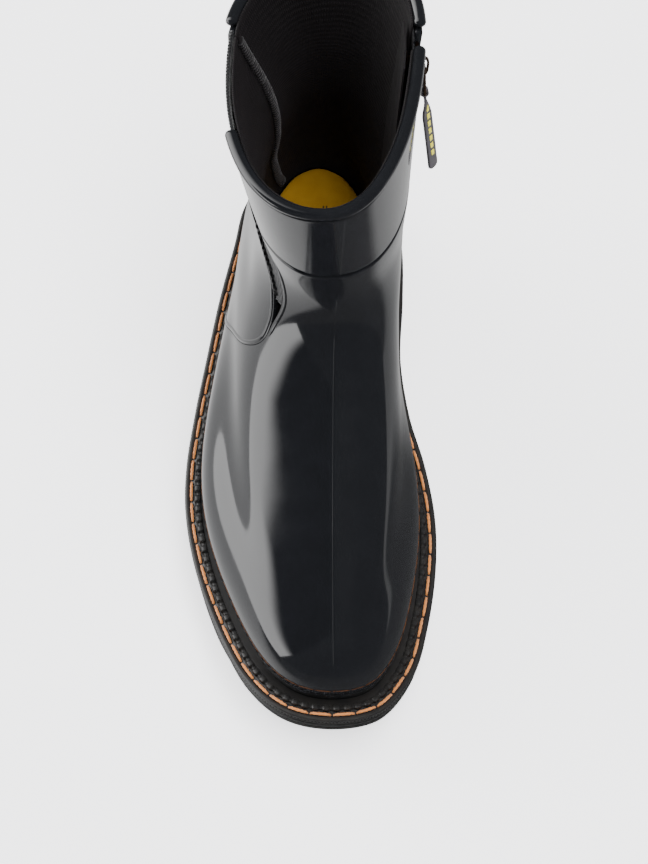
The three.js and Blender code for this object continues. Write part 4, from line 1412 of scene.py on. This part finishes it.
zipper = {
    "pitch": 2.4,
    "toothWidth": 2.2,
    "chainGap": 1.5,
    "stopLength": 2,
    "stopGap": 1.4,
    "sliderLength": 12,
    "sliderWidth": 8.5,
    "plate": 1.3,
    "plateOut": 0.4,
    "bridgeHeight": 3.2,
    "bridgeWall": 1.0,
    "bridgeWidth": 1.8,
    "bar": 1.4,
    "barThickness": 1.2,
    "pullerWidth": 6.4,
    "pullerArm": 1.5,
    "linkWindow": 5.8,
    "tabWindow": 3.7,
    "pullerTilt": 0.12,
    "tabTilt": 0.1,
    "tabLength": 34,
    "tabWidth": 6,
    "tabThickness": 1.2,
    "tapeWall": 0.6,
    "chainBow": 1.2,
    "patchLow": 54,
    "patchReach": 9,
    "dashes": 7,
    "dashFrom": 8.5,
    "dashPitch": 3.6,
    "dashSize": (2.0, 0.22, 2.5),
    "twist": -38,
    "twistFrom": 3,
    "twistOver": 9,
}
tapeOuter = build["shellWall"] + clearance
chainBottom = build["zipBottom"] * gz + zipper["stopLength"] + zipper["stopGap"] * 2
chainTop = rimLow - zipper["stopLength"] - zipper["stopGap"] * 1.6


def onZip(z, shift):
    row = heightRow(z)
    angle = zipSeam(shift)(lambda a: row(a), 1)
    v = row(angle)
    return angle, v


def zipTeeth(side, name, node):
    # one cast tooth, copied along the tape's edge
    count = round((chainTop - chainBottom) / zipper["pitch"])
    middle = side * (zipper["chainGap"] / 2 + zipper["toothWidth"] / 2 - 0.15)
    bm = bmesh.new()
    for i in range(count):
        z = chainBottom + (chainTop - chainBottom) * (i + 0.5) / count
        angle, v = onZip(z, middle)
        centre = skin(angle, v, (0.5 + tapeOuter - clearance) / 2)[0]
        out = lastNormal(angle, v)[0]
        ahead, behind = (last(*onZip(z + d, middle))[0] for d in (1, -1))
        up = (ahead - behind) / np.linalg.norm(ahead - behind)
        across = np.cross(out, up)
        across /= np.linalg.norm(across)
        made = bmesh.ops.create_cube(bm, size=1)["verts"]
        depth = tapeOuter - clearance - 0.5
        bmesh.ops.scale(bm, vec=(zipper["toothWidth"], depth, zipper["pitch"] * 0.56), verts=made)
        facesOf = {f for vert in made for f in vert.link_faces}
        edgesOf = list({e for f in facesOf for e in f.edges})
        made = bmesh.ops.bevel(bm, geom=edgesOf, offset=0.28, offset_type="OFFSET", affect="EDGES",
                               segments=1, profile=0.5, material=-1)["verts"]
        turn = Matrix((across, out, up)).transposed().to_4x4()
        bmesh.ops.transform(bm, matrix=Matrix.Scale(mm, 4) @ Matrix.Translation(centre) @ turn,
                            verts=made)
    piece = bmToObject(bm, name, smooth=False)
    dress(piece, finish["metal"])
    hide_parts(node)


def zipFootPatch():
    # the tapes are joined by a patch of the same cloth below the bottom stop
    low, high = toHeight(zipper["patchLow"] * gz), toHeight(build["zipBottom"] * gz - clearance)
    reach = zipper["patchReach"]
    angle, v = panelNet(low, high, zipSeam(-reach), zipSeam(reach), 24, 20)
    piece = netMesh("zipFootPatch", skin(angle, v, tapeOuter))
    addWall(piece, zipper["tapeWall"])
    dress(piece, finish["tape"])


zipFootPatch()
zipTeeth(-1, "zipTeethFront", "zip_teeth_front")
zipTeeth(1, "zipTeethRear", "zip_teeth_rear")


def zipFrame():
    ends = [(last(*onZip(z, 0))[0], lastNormal(*onZip(z, 0))[0]) for z in (chainBottom, chainTop)]
    (low, lowNormal), (high, highNormal) = ends
    up = (high - low) / np.linalg.norm(high - low)
    out = lowNormal + highNormal
    out = out - up * out.dot(up)
    out /= np.linalg.norm(out)
    turn = Matrix((np.cross(out, up), out, up)).transposed().to_4x4()
    return Matrix.Translation(high) @ turn


chain = zipFrame()
sliderPlace = chain @ Matrix.Translation((0, 0, -zipper["sliderLength"] / 2 - clearance))
pivotOut = zipper["plateOut"] + zipper["plate"] + (zipper["bridgeHeight"] - zipper["bridgeWall"]) / 2
pullerPlace = (sliderPlace @ Matrix.Translation((0, pivotOut, 0))
               @ Matrix.Rotation(zipper["pullerTilt"], 4, "X"))
tabPivot = -(2 * zipper["bar"] + zipper["linkWindow"] + zipper["tabWindow"])
tabPlace = (pullerPlace @ Matrix.Translation((0, 0, tabPivot))
            @ Matrix.Rotation(zipper["tabTilt"], 4, "X"))


def blockBm(bm, size, place, soft=0.25, cuts=0, segments=2):
    # a bevelled block, millimetres, added to a mesh; returns its vertices
    part = bmesh.new()
    bmesh.ops.create_cube(part, size=1)
    bmesh.ops.scale(part, vec=size, verts=part.verts)
    if cuts:
        longest = max(range(3), key=lambda k: size[k])
        long = [e for e in part.edges
                if abs((e.verts[0].co - e.verts[1].co)[longest]) > size[longest] * 0.9]
        bmesh.ops.subdivide_edges(part, edges=long, cuts=cuts, use_grid_fill=True)
    if soft:
        sharp = [e for e in part.edges if e.calc_face_angle(0) > 0.5]
        bmesh.ops.bevel(part, geom=sharp, offset=soft, offset_type="OFFSET", affect="EDGES",
                        segments=segments, profile=0.5, material=-1)
    bmesh.ops.translate(part, vec=place, verts=part.verts)
    joinBm(bm, part)


def archBm(bm, width, height, wall, reach):
    # the slider's bridge: a bar bent over the plate
    arc = np.linspace(0, math.pi, 19)
    power = 0.62
    y = np.sign(np.sin(arc)) * np.abs(np.sin(arc)) ** power
    z = np.sign(np.cos(arc)) * np.abs(np.cos(arc)) ** power
    points = []
    for inset in (0, wall):
        line = np.column_stack([np.zeros(19), y * (height - inset), z * (reach - inset)])
        line[0, 1] = line[-1, 1] = -wall * 0.6
        points.append(line)
    outer, inner = points
    ring = []
    for x, line in ((-width / 2, outer), (width / 2, outer), (width / 2, inner), (-width / 2, inner),
                    (-width / 2, outer)):
        ring.append(line + (x, 0, 0))
    grid = np.array(ring)
    first = grid[:, :1].mean(0, keepdims=True).repeat(5, 0)
    final = grid[:, -1:].mean(0, keepdims=True).repeat(5, 0)
    part = netBm(np.concatenate([first, grid, final], 1) / mm, closedShell=True)
    sharp = [e for e in part.edges if e.calc_face_angle(0) > 0.9]
    bmesh.ops.bevel(part, geom=sharp, offset=0.22, offset_type="OFFSET", affect="EDGES",
                    segments=2, profile=0.5, material=-1)
    joinBm(bm, part)


def placeBm(bm, place):
    bmesh.ops.transform(bm, matrix=Matrix.Scale(mm, 4) @ place, verts=bm.verts)


def twistTab(bm):
    # the strap has turned towards the front below its neck
    for vert in bm.verts:
        share = smoothStep((-vert.co.z - zipper["twistFrom"]) / zipper["twistOver"])
        turn = Matrix.Rotation(math.radians(zipper["twist"]) * float(share), 3, "Z")
        vert.co = turn @ vert.co


def sliderPiece():
    bm = bmesh.new()
    length, width, plate = zipper["sliderLength"], zipper["sliderWidth"], zipper["plate"]
    depth = tapeOuter + zipper["tapeWall"] + zipper["chainBow"] + clearance

    def wing(wide, long, thick, y):
        part = bmesh.new()
        bmesh.ops.create_cube(part, size=1)
        bmesh.ops.scale(part, vec=(wide, thick, long), verts=part.verts)
        uprights = [e for e in part.edges
                    if abs((e.verts[0].co - e.verts[1].co).z) > long * 0.9]
        bmesh.ops.subdivide_edges(part, edges=uprights, cuts=7, use_grid_fill=True)
        for vert in part.verts:
            s = vert.co.z / long
            vert.co.x *= 1 - 0.38 * smoothStep(-s * 2 + 0.35) - 0.3 * smoothStep(s * 3 - 0.7)
        sharp = [e for e in part.edges if e.calc_face_angle(0) > 0.9]
        bmesh.ops.bevel(part, geom=sharp, offset=min(0.35, thick * 0.4), offset_type="OFFSET",
                        affect="EDGES", segments=3, profile=0.5, material=-1)
        bmesh.ops.translate(part, vec=(0, y, 0), verts=part.verts)
        joinBm(bm, part)

    wing(width, length, plate, zipper["plateOut"] + plate / 2)
    wing(width * 0.9, length * 0.9, 0.7, -depth - 0.35)
    post = depth + zipper["plateOut"] + 0.4
    blockBm(bm, (zipper["chainGap"] - 0.6, post, length * 0.35),
            (0, zipper["plateOut"] + 0.2 - post / 2, length * 0.2), 0.15)
    arch = bmesh.new()
    archBm(arch, zipper["bridgeWidth"], zipper["bridgeHeight"], zipper["bridgeWall"], length * 0.36)
    bmesh.ops.translate(arch, vec=(0, zipper["plateOut"] + plate, 0), verts=arch.verts)
    joinBm(bm, arch)
    placeBm(bm, sliderPlace)
    piece = bmToObject(bm, "zipSliderBody")
    dress(piece, finish["metal"], "slider")
    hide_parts("zip_slider")


def pullerPiece():
    bm = bmesh.new()
    bar, thick = zipper["bar"], zipper["barThickness"]
    wide, arm = zipper["pullerWidth"], zipper["pullerArm"]
    length = 3 * bar + zipper["linkWindow"] + zipper["tabWindow"]
    top = bar / 2
    for side in (-1, 1):
        blockBm(bm, (arm, thick, length), (side * (wide - arm) / 2, 0, top - length / 2), 0.35, 8, 3)
    for z in (0, -bar - zipper["linkWindow"], tabPivot):
        blockBm(bm, (wide - arm, thick * 0.96, bar), (0, 0, z), 0.35, 0, 3)
    placeBm(bm, pullerPlace)
    piece = bmToObject(bm, "zipPullerLink")
    dress(piece, finish["metal"], "puller")
    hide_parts("zip_puller")


def tabStrap():
    # a strap folded round the link's lowest bar and stitched shut, with a slight curl
    bm = bmesh.new()
    loopOut, neck = 1.9, 0.75
    wide, thick, long = zipper["tabWidth"], zipper["tabThickness"], zipper["tabLength"]
    inner = zipper["pullerWidth"] - 2 * zipper["pullerArm"] + 0.3
    arc = np.linspace(-math.pi / 2, 3 * math.pi / 2, 29)
    rings = []
    for radius in (loopOut - neck, loopOut):
        rings.append(np.column_stack([np.cos(arc) * radius, np.sin(arc) * radius]))
    grid = []
    for x, ring in ((-inner / 2, 1), (inner / 2, 1), (inner / 2, 0), (-inner / 2, 0), (-inner / 2, 1)):
        grid.append(np.column_stack([np.full(29, x), rings[ring]]))
    joinBm(bm, netBm(np.array(grid) / mm, closedShell=True))
    blockBm(bm, (inner, thick, 2.6), (0, 0, -loopOut - 0.9), 0.2)
    rows, cols = 60, 8
    s = np.linspace(0, 1, rows + 1)
    shoulder = np.clip(s / 0.06, 0, 1)
    tip = np.clip((1 - s) / 0.07, 0, 1)
    half = wide / 2 * (0.72 + 0.28 * smoothStep(shoulder)) * (0.55 + 0.45 * np.sqrt(1 - (1 - tip) ** 2))
    z = -loopOut - 2 - long * s
    curl = 0.35 * np.sin(s * math.pi)
    faces = []
    for y in (thick / 2, -thick / 2):
        face = np.zeros((rows + 1, cols + 1, 3))
        for k, across in enumerate(np.linspace(-1, 1, cols + 1)):
            face[:, k] = np.column_stack([across * half, y + curl * 0.3 - 0.12 * across ** 2, z])
        faces.append(face)
    strip = np.concatenate([faces[0], faces[1][:, ::-1], faces[0][:, :1]], 1)
    caps = [strip[r:r + 1].mean(1, keepdims=True).repeat(strip.shape[1], 1) for r in (0, rows)]
    strip = np.concatenate([caps[0], strip, caps[1]])
    part = netBm(strip / mm, closedShell=True)
    sharp = [e for e in part.edges if e.calc_face_angle(0) > 0.9]
    bmesh.ops.bevel(part, geom=sharp, offset=0.22, offset_type="OFFSET", affect="EDGES", segments=2,
                    profile=0.5, material=-1)
    joinBm(bm, part)
    twistTab(bm)
    placeBm(bm, tabPlace)
    piece = bmToObject(bm, "pullTabStrap")
    dress(piece, finish["tab"], "tab")
    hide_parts("pull_tab")


def tabPrint():
    # generic dashes printed down the strap
    bm = bmesh.new()
    y = zipper["tabThickness"] / 2 + 0.02
    for i in range(zipper["dashes"]):
        z = -zipper["dashFrom"] - i * zipper["dashPitch"]
        blockBm(bm, zipper["dashSize"], (0, y + 0.06, z), 0.08, 0, 1)
    twistTab(bm)
    placeBm(bm, tabPlace)
    piece = bmToObject(bm, "pullTabDashes")
    dress(piece, finish["yellow"], "tab")


sliderPiece()
pullerPiece()
tabStrap()
tabPrint()

print("stage: hidden and plain pieces")

for node, material in (("shank", "steel"), ("insole_board", "board"), ("zip_tape_front", "tape"),
                       ("zip_tape_rear", "tape"), ("zip_guard", "jersey"),
                       ("zip_top_stop_front", "metal"), ("zip_top_stop_rear", "metal"),
                       ("zip_bottom_stop", "metal")):
    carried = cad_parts[node]
    carried.data.materials.clear()
    carried.data.materials.append(finish[material])

print("stage: finish")
